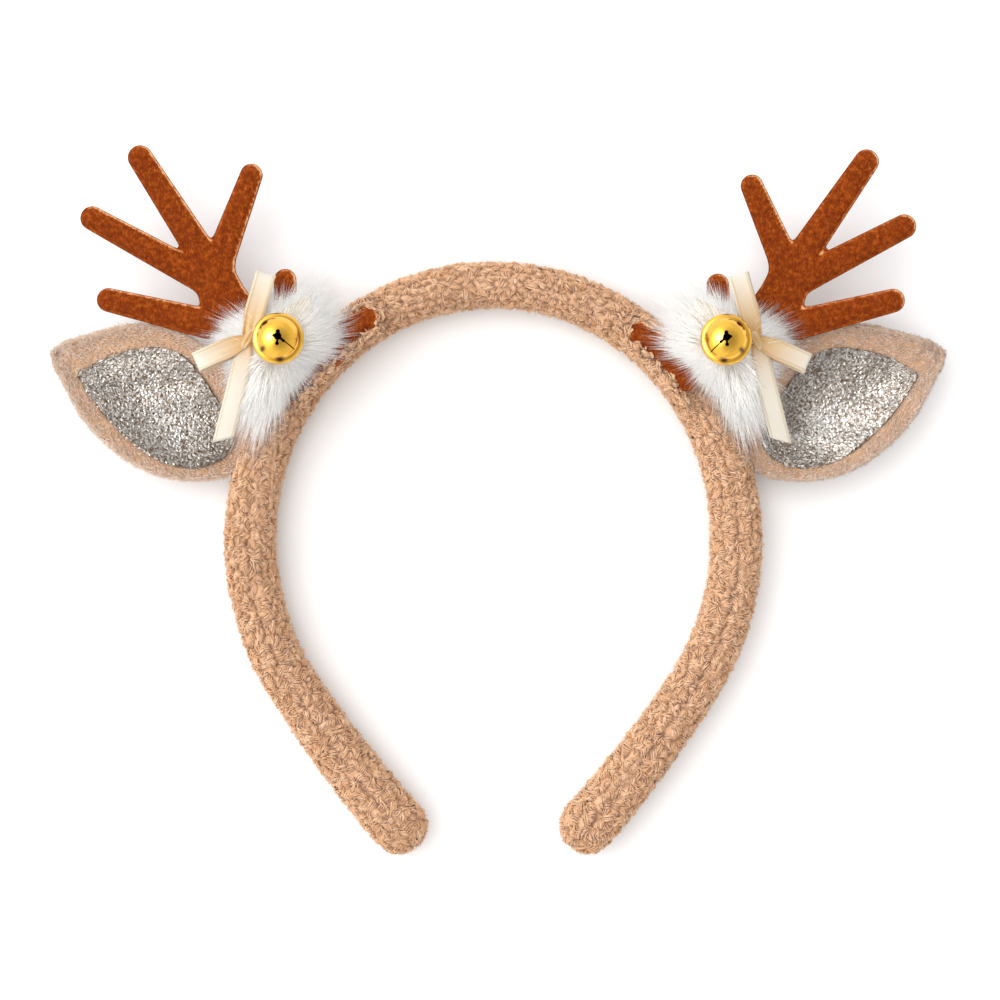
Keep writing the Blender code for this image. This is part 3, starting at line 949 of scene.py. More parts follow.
    def fringe_fibres(self, rng: np.random.Generator, count: int) -> Strands:
        """Fine loose ends that stand out of the locks, each a single straight spike.

        Args:
            rng: The source of chance.
            count: How many.

        Returns:
            The fibres.
        """
        run = rng.uniform(-self.end_half, self.length + self.end_half, count)
        angle = rng.uniform(-0.9, math.pi + 0.9, count)
        points, normal = self.surface(run, angle, self.pile - 0.8)
        start = unit(normal + unit(rng.normal(0, 1, (count, 3))) * 0.8)
        line = bent_lines(points * MM, start, normal, np.zeros(count), rng.uniform(0.8, 1.7, count) * MM, 1)
        return Strands(
            line=line,
            up=unit(rng.normal(0, 1, (count, 3))),
            radius=rng.uniform(0.05, 0.09, count) * MM,
            tone=self.fringe_tone + rng.normal(0, 0.08, count),
            widths=(1.0,),
            root_dark=0.1,
        )


def path_rows(flat: np.ndarray, half: np.ndarray, depth: np.ndarray) -> np.ndarray:
    """Measures a level path.

    Args:
        flat: Points along it in mm.
        half: Half width at each.
        depth: Half depth at each.

    Returns:
        Rows of run, x, y, heading, half width and half depth.
    """
    run = np.concatenate([[0], np.cumsum(np.linalg.norm(np.diff(flat, axis=0), axis=1))])
    way = np.gradient(flat, run, axis=0)
    heading = np.unwrap(np.arctan2(way[:, 1], way[:, 0]))
    return np.column_stack([run, flat, heading, half, depth])


@dataclass
class Band:
    """The sherpa-covered roll that goes over the head.

    Its centreline is an ellipse over the crown, an arc below its widest place, and a nearly straight leg.
    """

    shift: float = -1.4
    half_span: float = 72.9
    crown_rise: float = 76.5
    widest_y: float = -12.0
    lower_radius: float = 81.0
    lower_turn: float = math.radians(36.3)
    leg_turn: tuple[float, float] = (math.radians(33.5), math.radians(41.5))
    leg_length: float = 47.2
    crown_half: float = 7.5
    side_half: float = 8.3
    end_half: float = 9.1
    half_depth: float = 10.0
    fringe: int = 10000
    seed: int = 5

    def crown(self, x: np.ndarray) -> np.ndarray:
        """The height in the picture of the centreline's upper half at a distance from the middle."""
        return self.widest_y + self.crown_rise * np.sqrt(1 - (x / self.half_span) ** 2)

    def roll(self) -> PileRoll:
        """Measures the centreline once and lays the roll along it."""
        turns = np.linspace(0, math.pi / 2, 120)
        x = self.half_span * np.sin(turns)
        half = self.crown_half + (self.side_half - self.crown_half) * (turns / turns[-1]) ** 2
        rows = [np.stack([x, self.widest_y + self.crown_rise * np.cos(turns), half], axis=1)]
        turns = np.linspace(0, self.lower_turn, 40)[1:]
        centre = self.half_span - self.lower_radius
        x = centre + self.lower_radius * np.cos(turns)
        y = self.widest_y - self.lower_radius * np.sin(turns)
        rows.append(np.stack([x, y, np.full(len(x), self.side_half)], axis=1))
        steps = 40
        here = rows[-1][-1, :2].copy()
        leg = []
        for i in range(steps):
            share = (i + 0.5) / steps
            heading = -math.pi / 2 - self.leg_turn[0] - (self.leg_turn[1] - self.leg_turn[0]) * share
            here = here + np.array([math.cos(heading), math.sin(heading)]) * self.leg_length / steps
            leg.append((*here, self.side_half + (self.end_half - self.side_half) * share))
        rows.append(np.array(leg))
        right = np.concatenate(rows)
        left = right[:0:-1] * (-1, 1, 1)
        whole = np.concatenate([left, right])
        flat = whole[:, :2] + (self.shift, ORIGIN_Y)
        line = path_rows(flat, whole[:, 2], np.full(len(whole), self.half_depth))
        return PileRoll(line, self.half_depth, 9.0, crease=0.9)

    def build(self, material: bpy.types.Material) -> None:
        """Makes the roll and its pile, in pieces small enough to keep whole."""
        rng = np.random.default_rng(self.seed)
        roll = self.roll()
        locks = roll.locks(rng)
        piece = add_piece("band_core", roll.core("band_core", locks), material, ("band",))
        share = locks[:, 0] / roll.length
        for name, low, high in (("left", -1, 0.34), ("crown", 0.34, 0.66), ("right", 0.66, 2)):
            part = locks[(share >= low) & (share < high)]
            mesh = roll.lock_fibres(part, rng).mesh(f"band_pile_{name}")
            add_piece(f"band_pile_{name}", mesh, material, ("band",))
        mesh = roll.fringe_fibres(rng, self.fringe).mesh("band_fringe")
        add_piece("band_fringe", mesh, material, ("band",))


TINES = {
    Side.LEFT: ((106.8, 100.9), (74.0, 95.8), (120.9, 83.0), (116.1, 58.9), (64.0, 64.8)),
    Side.RIGHT: ((107.6, 100.0), (73.8, 92.9), (118.7, 80.9), (115.4, 59.0), (63.7, 63.7)),
}


@dataclass
class Antler:
    """A padded velour plate with a welded edge: trunk, tines and the foot on the band's front."""

    cluster: Cluster
    band: Band
    middle: float = 22.35
    half_thick: float = 1.95
    edge_half: float = 0.5
    edge_width: float = 0.6
    rim_step: float = 0.3
    puff_width: float = 2.7
    spacing: float = 0.55
    roots: tuple[tuple[float, float], ...] = (
        (87.6, 71.0),
        (83.2, 71.0),
        (86.2, 64.0),
        (87.0, 51.9),
        (64.2, 49.0),
    )
    tip_halves: tuple[float, ...] = (3.65, 3.3, 3.55, 3.5, 3.25)
    root_halves: tuple[float, ...] = (4.5, 4.4, 4.4, 4.5, 3.8)
    trunk: tuple[tuple[float, float, float], ...] = (
        (85.6, 69.0, 5.9),
        (82.6, 60.0, 6.3),
        (75.4, 51.0, 7.0),
        (62.6, 45.0, 6.5),
        (50.5, 43.6, 4.6),
    )
    foot_half: float = 3.5
    foot_end: float = 57.0
    blend: float = 2.8
    collar_half: tuple[float, float] = (2.8, 2.2)
    collar_level: float = 20.5
    collar_wrap: float = 3.4
    collar_locks: tuple[float, float] = (0.8, 2.0)
    # Painted sheen: edges facing this way, to the right and towards the crown in the picture on both sides,
    # are painted lighter.
    brush: tuple[float, float] = (0.8, 0.6)
    rim_at: float = 0.4
    rim_half: float = 0.22

    def limbs(self) -> list[tuple[float, ...]]:
        """Every stretch of the outline as two ends, each with its half width."""
        tips = TINES[self.cluster.side]
        rows = [
            (*tip, half, *root, wide)
            for tip, half, root, wide in zip(tips, self.tip_halves, self.roots, self.root_halves)
        ]
        rows += [(*near, *far) for near, far in zip(self.trunk, self.trunk[1:])]
        offset = self.cluster.side.value * (self.band.shift - self.cluster.shift)
        xs = np.linspace(self.cluster.foot, self.foot_end, 6)
        ys = self.band.crown(xs) - self.cluster.lift
        foot = [(x + offset, y, self.foot_half) for x, y in zip(xs, ys)]
        rows += [(*near, *far) for near, far in zip(foot, foot[1:])]
        return rows

    def depth(self, x: np.ndarray, y: np.ndarray) -> np.ndarray:
        """How deep each point is inside the outline, in mm, with the crotches softened."""
        whole = None
        for ax, ay, ar, bx, by, br in self.limbs():
            dx, dy = bx - ax, by - ay
            t = (((x - ax) * dx + (y - ay) * dy) / (dx * dx + dy * dy)).clip(0, 1)
            inside = (ar + (br - ar) * t) - np.hypot(x - ax - dx * t, y - ay - dy * t)
            if whole is None:
                whole = inside
                continue
            share = np.maximum(self.blend - np.abs(whole - inside), 0) / self.blend
            whole = np.maximum(whole, inside) + share**3 * self.blend / 6
        return whole

    def fit_edge(self, bm: bmesh.types.BMesh) -> None:
        """Moves the open edge of the grid on to the outline, then evens it out along the outline."""
        edge = [vert for vert in bm.verts if vert.is_boundary]
        inner = [vert for vert in bm.verts if not vert.is_boundary]
        step = 0.05
        for _ in range(10):
            place = np.array([vert.co[:2] for vert in edge])
            nexts = [
                sum((edge.other_vert(vert).co for edge in vert.link_edges if edge.is_boundary), Vector())
                / 2
                for vert in edge
            ]
            place = place * 0.5 + np.array([middle[:2] for middle in nexts]) * 0.5
            for _ in range(3):
                depth = self.depth(place[:, 0], place[:, 1])
                slope_x = (self.depth(place[:, 0] + step, place[:, 1]) - depth) / step
                slope_y = (self.depth(place[:, 0], place[:, 1] + step) - depth) / step
                steep = np.maximum(slope_x**2 + slope_y**2, 0.2)
                place[:, 0] -= slope_x * depth / steep
                place[:, 1] -= slope_y * depth / steep
            for vert, spot in zip(edge, place):
                vert.co = (*spot, 0.0)
            bmesh.ops.smooth_vert(bm, verts=inner, factor=0.5, use_axis_x=True, use_axis_y=True)

    def collar(self, plush: bpy.types.Material) -> None:
        """The sherpa that swells up round the foot, where the foot is pressed into the pile."""
        rng = np.random.default_rng(self.cluster.seed + 5)
        edge = self.foot_half + 0.5
        xs = np.linspace(self.foot_end + 4.0, self.cluster.foot, 16)
        centre = np.column_stack([xs, self.band.crown(xs)])
        way = unit(np.gradient(centre, axis=0))
        inner = np.column_stack([-way[:, 1], way[:, 0]])
        turns = np.linspace(0, math.pi, 9)[1:-1, None]
        end = centre[-1] + edge * (np.cos(turns) * inner[-1] + np.sin(turns) * way[-1])
        flat = np.concatenate([centre + inner * edge, end, (centre - inner * edge)[::-1][:6]])
        flat = flat * (self.cluster.side.value, 1) + (self.band.shift, ORIGIN_Y)
        share = np.linspace(0, 1, len(flat))
        wide, slim = self.collar_half
        half = np.interp(share, (0, 0.15, 0.5, 0.62, 0.85, 1), (1.7, wide, wide, slim, slim, 1.7))
        half = half + rng.normal(0, 0.3, len(half))
        roll = PileRoll(path_rows(flat, half, half * 1.5), self.collar_level, self.collar_wrap, lowest=-0.3)
        roll.lock_height = self.collar_locks
        locks = roll.locks(rng)
        name = f"band_collar_{self.cluster.side.label}"
        add_piece(f"{name}_core", roll.core(f"{name}_core", locks), plush, ("band",))
        add_piece(name, roll.lock_fibres(locks, rng).mesh(name), plush, ("band",))

    def build(self, material: bpy.types.Material) -> None:
        """Cuts the outline from a fine grid, thickens it and puffs it up."""
        low, high = np.array([30.0, 28.0]), np.array([126.0, 107.0])
        steps = ((high - low) / self.spacing).astype(int)
        bm = bmesh.new()
        bmesh.ops.create_grid(bm, x_segments=int(steps[0]), y_segments=int(steps[1]), size=0.5)
        flat = np.array([v.co[:2] for v in bm.verts]) + 0.5
        flat = low + flat * (high - low)
        depth = self.depth(flat[:, 0], flat[:, 1])
        for vert, place in zip(bm.verts, flat):
            vert.co = (*place, 0.0)
        outside = [vert for vert, value in zip(bm.verts, depth) if value < -0.5 * self.spacing]
        bmesh.ops.delete(bm, geom=outside, context="VERTS")
        spikes = [vert for vert in bm.verts if len(vert.link_faces) < 2]
        bmesh.ops.delete(bm, geom=spikes, context="VERTS")
        self.fit_edge(bm)
        for _ in range(2):
            bmesh.ops.inset_region(bm, faces=bm.faces[:], thickness=self.rim_step, use_boundary=True)
        bmesh.ops.delete(bm, geom=[edge for edge in bm.edges if not edge.link_faces], context="EDGES")
        layer = bm.verts.layers.float.new("tone")
        made = bmesh.ops.extrude_face_region(bm, geom=bm.faces[:])
        back = {item for item in made["geom"] if isinstance(item, bmesh.types.BMVert)}
        places = np.array([v.co[:2] for v in bm.verts])
        inside = np.maximum(self.depth(places[:, 0], places[:, 1]), 0)
        puff = ((inside - self.edge_width) / self.puff_width).clip(0, 1)
        height = self.edge_half + (self.half_thick - self.edge_half) * np.sqrt(1 - (1 - puff) ** 2)
        wave = np.sin(places[:, 0] * 0.8 + 1.1 * np.sin(places[:, 1] * 0.5)) * np.sin(places[:, 1] * 0.7)
        height += 0.08 * wave * (puff > 0)
        step = 0.1
        xs, ys = places.T
        facing = -np.column_stack(
            [
                self.depth(xs + step, ys) - self.depth(xs - step, ys),
                self.depth(xs, ys + step) - self.depth(xs, ys - step),
            ]
        )
        # Painted sheen and shade in the tone: a lighter line just inside every edge, partly the weld's own
        # colour and partly painted highlight on edges facing right and towards the crown; a faint band near
        # the edges, lighter on those and darker on the others; and a thin dark line of painted shade at the
        # very edge.
        brushed = unit(facing) @ (self.brush[0] * self.cluster.side.value, self.brush[1])
        near = 1 - (inside / 3.5).clip(0, 1)
        edge = (0.12 + 0.3 * brushed.clip(0, 1)) * np.exp(
            -(((inside - self.rim_at) / self.rim_half) ** 2)
        )
        edge += 0.05 * brushed * near - 0.1 * np.exp(-((inside / 0.15) ** 2))
        for vert, place, value, light in zip(bm.verts, places, height, edge):
            sign = -1.0 if vert in back else 1.0
            world = to_world(np.array([place[0], place[1], self.middle + sign * value]), self.cluster)
            vert.co = world
            vert[layer] = light
        bmesh.ops.recalc_face_normals(bm, faces=bm.faces)
        mesh = take_mesh(bm, f"antler_{self.cluster.side.label}")
        mesh.shade_smooth()
        name = f"antler_{self.cluster.side.label}"
        piece = add_piece(f"{name}_velour", mesh, material, (name,))


@dataclass
class Ear:
    """A cupped plush leaf with a glitter panel set into its front."""

    cluster: Cluster
    base: tuple[float, float] = (74.8, 20.7)
    lean: float = math.radians(21.9)
    wall: float = 3.0
    hairs: int = 13500
    hair_length: tuple[float, float] = (1.2, 2.3)
    hair_radius: tuple[float, float] = (0.15, 0.25)
    hair_tone: float = 0.9
    skin: float = 0.55
    hair_root: float = 0.6
    backing: float = 0.6
    flake_shift: float = 0.13
    flake_tilt: float = 0.11
    crack_scale: float = 850.0
    sections: tuple[tuple[float, ...], ...] = (
        (-2.6, 7.4, -11.8, 10.1, 3.0),
        (0.0, 9.8, -14.6, 10.2, 3.6),
        (5.0, 12.6, -18.0, 10.3, 5.4),
        (11.0, 15.3, -20.6, 10.6, 7.2),
        (18.0, 17.8, -22.2, 11.0, 8.2),
        (27.0, 19.8, -22.1, 11.6, 8.2),
        (35.0, 19.4, -20.2, 12.3, 7.2),
        (42.0, 17.2, -17.5, 13.0, 5.8),
        (48.0, 13.7, -14.0, 13.6, 4.4),
        (53.5, 9.7, -9.6, 14.2, 3.0),
        (57.5, 6.6, -6.1, 14.6, 2.0),
        (59.6, 4.9, -4.5, 14.8, 1.4),
        (61.0, 3.1, -2.8, 14.9, 1.0),
        (61.7, 1.5, -1.3, 15.0, 0.8),
        (61.9, 0.2, -0.1, 15.0, 0.7),
    )
    panel: tuple[tuple[float, float, float], ...] = (
        (2.4, -4.6, -6.4),
        (3.2, -3.0, -9.2),
        (4.4, -1.6, -11.2),
        (8.0, 1.8, -14.9),
        (13.0, 6.2, -17.2),
        (19.0, 10.3, -18.1),
        (24.0, 13.1, -17.8),
        (29.0, 13.8, -16.7),
        (34.0, 12.8, -14.9),
        (39.0, 10.6, -12.8),
        (44.0, 7.2, -10.1),
        (48.5, 3.1, -7.0),
        (51.5, -0.9, -4.6),
        (52.9, -2.5, -3.6),
    )

    def place(self, along: np.ndarray, across: np.ndarray, height: np.ndarray) -> np.ndarray:
        """Takes distances along and across the ear, and a height, to the frame in metres."""
        c, s = math.cos(self.lean), math.sin(self.lean)
        x = self.base[0] + along * c - across * s
        y = self.base[1] + along * s + across * c
        return to_world(np.stack([x, y, height], axis=1), self.cluster, placed=False)

    def front(self, along: np.ndarray, across: np.ndarray) -> np.ndarray:
        """The height of the cupped front in mm."""
        row = smooth_table(list(self.sections), along)
        middle, half = (row[:, 0] + row[:, 1]) / 2, (row[:, 0] - row[:, 1]) / 2
        share = np.abs((across - middle) / np.maximum(half, 0.3)).clip(0, 1)
        return row[:, 2] + row[:, 3] * share**2

    def leaf(self, u: np.ndarray, v: np.ndarray, inset: float = 0.0) -> np.ndarray:
        """A point of the leaf: u runs from root to tip, and v once round it."""
        low, high = self.sections[0][0], self.sections[-1][0]
        along = low + (high - low) * (1 - (1 - u) ** 1.35)
        row = smooth_table(list(self.sections), along)
        middle, half = (row[:, 0] + row[:, 1]) / 2, (row[:, 0] - row[:, 1]) / 2
        c, s = np.cos(v * 2 * math.pi), np.sin(v * 2 * math.pi)
        share = np.sign(c) * np.abs(c) ** 0.8
        across = middle + np.maximum(half - inset, 0.1) * share
        wall = self.wall - 2 * inset * 0.6
        level = row[:, 2] + row[:, 3] * share**2 - self.wall / 2
        thin = np.minimum(1.0, (high - along) / 6.0 + 0.35)
        height = level + wall / 2 * thin * np.sign(s) * np.abs(s) ** 0.55
        return self.place(along, across, height)

    def build_leaf(self, material: bpy.types.Material) -> None:
        """The padded leaf and the short hair of its plush."""
        label = self.cluster.side.label

        def shape(u: np.ndarray, v: np.ndarray) -> np.ndarray:
            return self.leaf(u, v, inset=self.skin)

        # Painted shade: the skin under the hair is toned darker than the hairs, as the shade under the nap,
        # with a faint ripple.
        def tone(u: np.ndarray, v: np.ndarray) -> np.ndarray:
            return 0.36 + 0.05 * np.sin(u * 60 + 5 * np.sin(v * 30))

        mesh = grid_mesh(f"ear_{label}_leaf", 64, 72, shape, 0.00005, tone)
        piece = add_piece(f"ear_{label}_leaf", mesh, material, (f"ear_{label}",))
        rng = np.random.default_rng(self.cluster.seed)
        u, v = rng.uniform(0, 1, self.hairs), rng.uniform(0, 1, self.hairs)
        edge = rng.uniform(0, 1, self.hairs) < 0.3
        v = np.where(edge, np.round(v * 2) / 2 + rng.normal(0, 0.025, self.hairs), v) % 1.0
        here = self.leaf(u, v, inset=self.hair_root)
        ahead = self.leaf((u + 0.004).clip(0, 1), v, inset=self.hair_root)
        around = self.leaf(u, (v + 0.004) % 1.0, inset=self.hair_root)
        along = unit(ahead - here + 1e-9)
        normal = unit(np.cross(around - here, along)) * self.cluster.side.value
        centre = self.leaf(u, (1.0 - v) % 1.0, inset=self.hair_root)
        across = unit(np.cross(normal, along))
        sway = rng.normal(0, 0.5, self.hairs) + 0.5 * np.sin(here[:, 0] * 900) * np.cos(here[:, 1] * 700)
        flow = along * np.cos(sway)[:, None] + across * np.sin(sway)[:, None]
        outside = unit(here - centre + 1e-9)
        start = unit(flow + normal * rng.uniform(0.1, 0.6, self.hairs)[:, None] + outside * 0.15)
        keep = ~self.covered(u, v)
        count = int(keep.sum())
        length = rng.uniform(*self.hair_length, count) * MM
        strands = Strands(
            line=bent_lines(here[keep], start[keep], normal[keep], np.zeros(count), length, 1),
            up=unit(rng.normal(0, 1, (count, 3))),
            radius=rng.uniform(*self.hair_radius, count) * MM,
            tone=self.hair_tone + rng.normal(0, 0.1, count),
            widths=(1.0,),
            root_dark=0.0,
        )
        name = f"ear_{label}_pile"
        add_piece(name, strands.mesh(name), material, (f"ear_{label}",))

    def covered(self, u: np.ndarray, v: np.ndarray) -> np.ndarray:
        """Whether a place on the leaf is under the glitter panel."""
        low, high = self.sections[0][0], self.sections[-1][0]
        along = low + (high - low) * (1 - (1 - u) ** 1.35)
        row = smooth_table(list(self.sections), along)
        c = np.cos(v * 2 * math.pi)
        across = (row[:, 0] + row[:, 1]) / 2 + (row[:, 0] - row[:, 1]) / 2 * np.sign(c) * np.abs(c) ** 0.8
        edge = smooth_table(list(self.panel), along)
        within = (along > self.panel[0][0]) & (along < self.panel[-1][0])
        return within & (across < edge[:, 0] - 0.2) & (across > edge[:, 1] + 0.2) & (v < 0.5)

    def build_panel(self, material: bpy.types.Material) -> None:
        """The glitter cloth: a crust of small facets on a thin backing."""
        label = self.cluster.side.label
        rng = np.random.default_rng(self.cluster.seed + 7)
        low, high = self.panel[0][0], self.panel[-1][0]

        def shape(u: np.ndarray, v: np.ndarray) -> np.ndarray:
            along = low + (high - low) * u
            edge = smooth_table(list(self.panel), along)
            across = edge[:, 1] + (edge[:, 0] - edge[:, 1]) * v
            inner = (u > 0.01) & (u < 0.99) & (v > 0.01) & (v < 0.99)
            inner = inner * ((edge[:, 0] - edge[:, 1]) / 14).clip(0.08, 1)
            along = along + rng.normal(0, self.flake_shift, len(u)) * inner
            across = across + rng.normal(0, self.flake_shift, len(u)) * inner
            crease = 0.5 * np.sin(along * 0.33 + across * 0.5)
            crease = crease + 0.35 * np.sin(along * 0.21 - across * 0.4 + 2)
            height = self.front(along, across) + 0.75 + 0.4 * crease * inner
            height = height + rng.uniform(-self.flake_tilt, self.flake_tilt, len(u)) * inner
            height = height - 0.35 * (inner == 0)
            return self.place(along, across, height)

        mesh = grid_mesh(f"ear_{label}_glitter", 100, 64, shape)
        bm = bmesh.new()
        bm.from_mesh(mesh)
        bmesh.ops.triangulate(bm, faces=bm.faces)
        if sum(face.normal.z for face in bm.faces) < 0:
            bmesh.ops.reverse_faces(bm, faces=bm.faces)
        bm.to_mesh(mesh)
        bm.free()
        mesh.attributes.remove(mesh.attributes["tone"])
        layer = mesh.attributes.new("tone", "FLOAT", "FACE")
        middle = np.array([p.center for p in mesh.polygons])
        away = np.abs(middle[:, 0]) / MM - self.base[0]
        across = middle[:, 1] / MM - self.base[1]
        # The panel is darker, with more dark gaps, near the ear's base. Painted reflection: bright is a
        # lighter patch further out, where the cupped panel mirrors the light.
        darker_near_base = np.exp(-(((away - 9) / 7) ** 2) - (((across - 4) / 9) ** 2))
        bright = np.exp(-(((away - 20) / 11) ** 2) - (((across - 3) / 7) ** 2))
        tone = rng.uniform(0.2, 0.95, len(middle)) - 0.25 * darker_near_base + 0.22 * bright
        crack = np.array([abs(noise.noise(Vector(place) * self.crack_scale)) for place in middle])
        gaps = (crack < 0.09 + 0.05 * darker_near_base - 0.03 * bright) | (rng.uniform(0, 1, len(middle)) < 0.04)
        tone = np.where(gaps, rng.uniform(0.05, 0.25, len(middle)), tone)
        layer.data.foreach_set("value", tone.clip(0, 1).astype(np.float32))
        mesh.shade_flat()
        name = f"ear_panel_{label}"
        piece = add_piece(f"{name}_glitter", mesh, material, (name,))
        wall = piece.modifiers.new("backing", "SOLIDIFY")
        wall.thickness = self.backing * MM
        wall.offset = -1.0


FUR_REACH = (
    (0, 19.0),
    (20, 18.0),
    (40, 15.0),
    (60, 13.0),
    (80, 13.0),
    (100, 15.0),
    (120, 20.5),
    (140, 22.5),
    (160, 20.0),
    (180, 17.5),
    (195, 13.5),
    (210, 11.5),
    (240, 12.5),
    (258, 14.5),
    (268, 18.5),
    (277, 24.0),
    (285, 28.5),
    (292, 26.5),
    (305, 22.0),
    (325, 16.5),
    (340, 16.0),
    (360, 19.0),
)


@dataclass
class FurTuft:
    """A tuft of long white hair over the antler's trunk."""

    cluster: Cluster
    antler: Antler
    centre: tuple[float, float] = (66.0, 44.6)
    floor: float = 24.5
    core_height: float = 3.8
    hairs: int = 7200
    hair_radius: float = 0.1
    wisps: int = 1500
    wisp_radius: float = 0.055
    ribbons: tuple[tuple[tuple[float, float, float], tuple[float, float, float]], ...] = (
        ((75.0, 46.0, 28.7), (82.0, 17.6, 24.4)),
        ((75.0, 46.4, 29.0), (89.6, 40.1, 27.6)),
        ((74.1, 48.2, 29.0), (69.0, 66.0, 29.0)),
        ((72.0, 48.6, 29.4), (55.7, 56.8, 28.6)),
    )
    ribbon_half: float = 3.1
    veil: float = 0.35
    core_share: float = 0.74
    rooted_share: float = 0.62
    pitch: float = 30.0
    pitch_spread: float = 8.0

    def reach(self, bearing: np.ndarray) -> np.ndarray:
        """How far the tuft spreads at each bearing, in mm."""
        table = np.array(FUR_REACH, float)
        return np.interp(np.degrees(bearing) % 360, table[:, 0], table[:, 1])

    def tuck_under(self, line: np.ndarray, rng: np.random.Generator) -> None:
        """Presses the hair that lies where a ribbon lies to just under it.

        Args:
            line: The hairs' points in mm, which are moved in place.
            rng: The source of chance, for the hairs that fall over the inner tail.
        """
        veil = rng.uniform(0, 1, len(line)) < self.veil
        for near, far in self.ribbons:
            a, b = np.array(near), np.array(far)
            way = (b - a)[:2]
            share = (((line[..., :2] - a[:2]) @ way) / (way @ way)).clip(0, 1)
            gap = np.linalg.norm(line[..., :2] - a[:2] - share[..., None] * way, axis=-1)
            under = a[2] + (b[2] - a[2]) * share - 0.35
            hold = (gap < self.ribbon_half) & ~(veil[:, None] & (near == self.ribbons[-1][0]))
            line[..., 2] = np.where(hold, np.minimum(line[..., 2], under), line[..., 2])

    def build(self, material: bpy.types.Material) -> None:
        """The soft body of the tuft, and the hairs that spread from it."""
        label = self.cluster.side.label
        rng = np.random.default_rng(self.cluster.seed + 3)

        def shape(u: np.ndarray, v: np.ndarray) -> np.ndarray:
            bearing, polar = u * 2 * math.pi, v * math.pi
            wide = self.core_share * self.reach(bearing) * np.sin(polar)
            wave = 1 + 0.05 * np.sin(bearing * 13 + 4 * v)
            x = self.centre[0] + wide * wave * np.cos(bearing)
            y = self.centre[1] + wide * wave * np.sin(bearing)
            z = self.floor + self.core_height * (0.5 - 0.5 * np.cos(polar)) * 0.98
            return to_world(np.stack([x, y, z], axis=1), self.cluster)

        mesh = grid_mesh(f"fur_{label}_core", 60, 16, shape, 0.00005, lambda u, v: 0.35 + 0.3 * v)
        piece = add_piece(f"fur_{label}_core", mesh, material, (f"fur_{label}",))
        kinds = (
            ("hair", self.hairs, self.hair_radius, (0.0, 1.0), (0.8, 1.14)),
            ("wisps", self.wisps, self.wisp_radius, (0.45, 1.0), (1.1, 1.42)),
        )
        for kind, *sizes in kinds:
            self.lay(f"fur_{label}_{kind}", *sizes, material, rng)

    def lay(
        self,
        name: str,
        count: int,
        radius: float,
        rooted: tuple[float, float],
        reaches: tuple[float, float],
        material: bpy.types.Material,
        rng: np.random.Generator,
    ) -> None:
        """Lays hairs outwards from the middle of the tuft.

        Args:
            name: The piece's name.
            count: How many hairs.
            radius: Their mean radius in mm.
            rooted: Where they start, as shares of the rooted area's radius.
            reaches: How far they end, as shares of the tuft's reach.
            material: The fur.
            rng: The source of chance.
        """
        bearing = rng.uniform(0, 2 * math.pi, count)
        share = np.sqrt(rng.uniform(rooted[0] ** 2, rooted[1] ** 2, count))
        out = share * self.reach(bearing) * self.rooted_share
        x = self.centre[0] + out * np.cos(bearing)
        y = self.centre[1] + out * np.sin(bearing)
        z = self.floor + 0.5 + self.core_height * (1 - share**2) * 0.8
        way = bearing + rng.normal(0, 1, count) * (0.12 + 0.5 * (1 - share)) + 0.05 * np.sin(bearing * 7)
        pitch = np.radians(rng.normal(self.pitch, self.pitch_spread, count) * (1.05 - 0.6 * share))
        start = np.stack([np.cos(way) * np.cos(pitch), np.sin(way) * np.cos(pitch), np.sin(pitch)], axis=1)
        axis = np.stack([-np.sin(way), np.cos(way), rng.normal(0, 0.25, count)], axis=1)
        far = self.reach(way) * rng.uniform(*reaches, count)
        length = (far - out).clip(4.0, 30) * (1.06 - 0.35 * rng.uniform(0, 1, count) * (1 - share))
        curl = rng.uniform(0.35, 0.9, count)
        line = bent_lines(np.stack([x, y, z], axis=1), start, unit(axis), curl, length, 2)
        on_velour = self.antler.depth(line[..., 0], line[..., 1]) > -0.4
        line[..., 2] = np.maximum(line[..., 2], np.where(on_velour, self.floor + 0.1, self.floor - 4.5))
        self.tuck_under(line, rng)
        tuft = Strands(
            line=to_world(line, self.cluster),
            up=np.broadcast_to((0.0, 0.0, 1.0), (count, 3)),
            radius=radius * rng.uniform(0.65, 1.2, count) * MM,
            tone=0.85 + rng.normal(0, 0.12, count),
            widths=(1.0, 0.8),
            root_dark=0.1,
        )
        add_piece(name, tuft.mesh(name), material, (f"fur_{self.cluster.side.label}",))


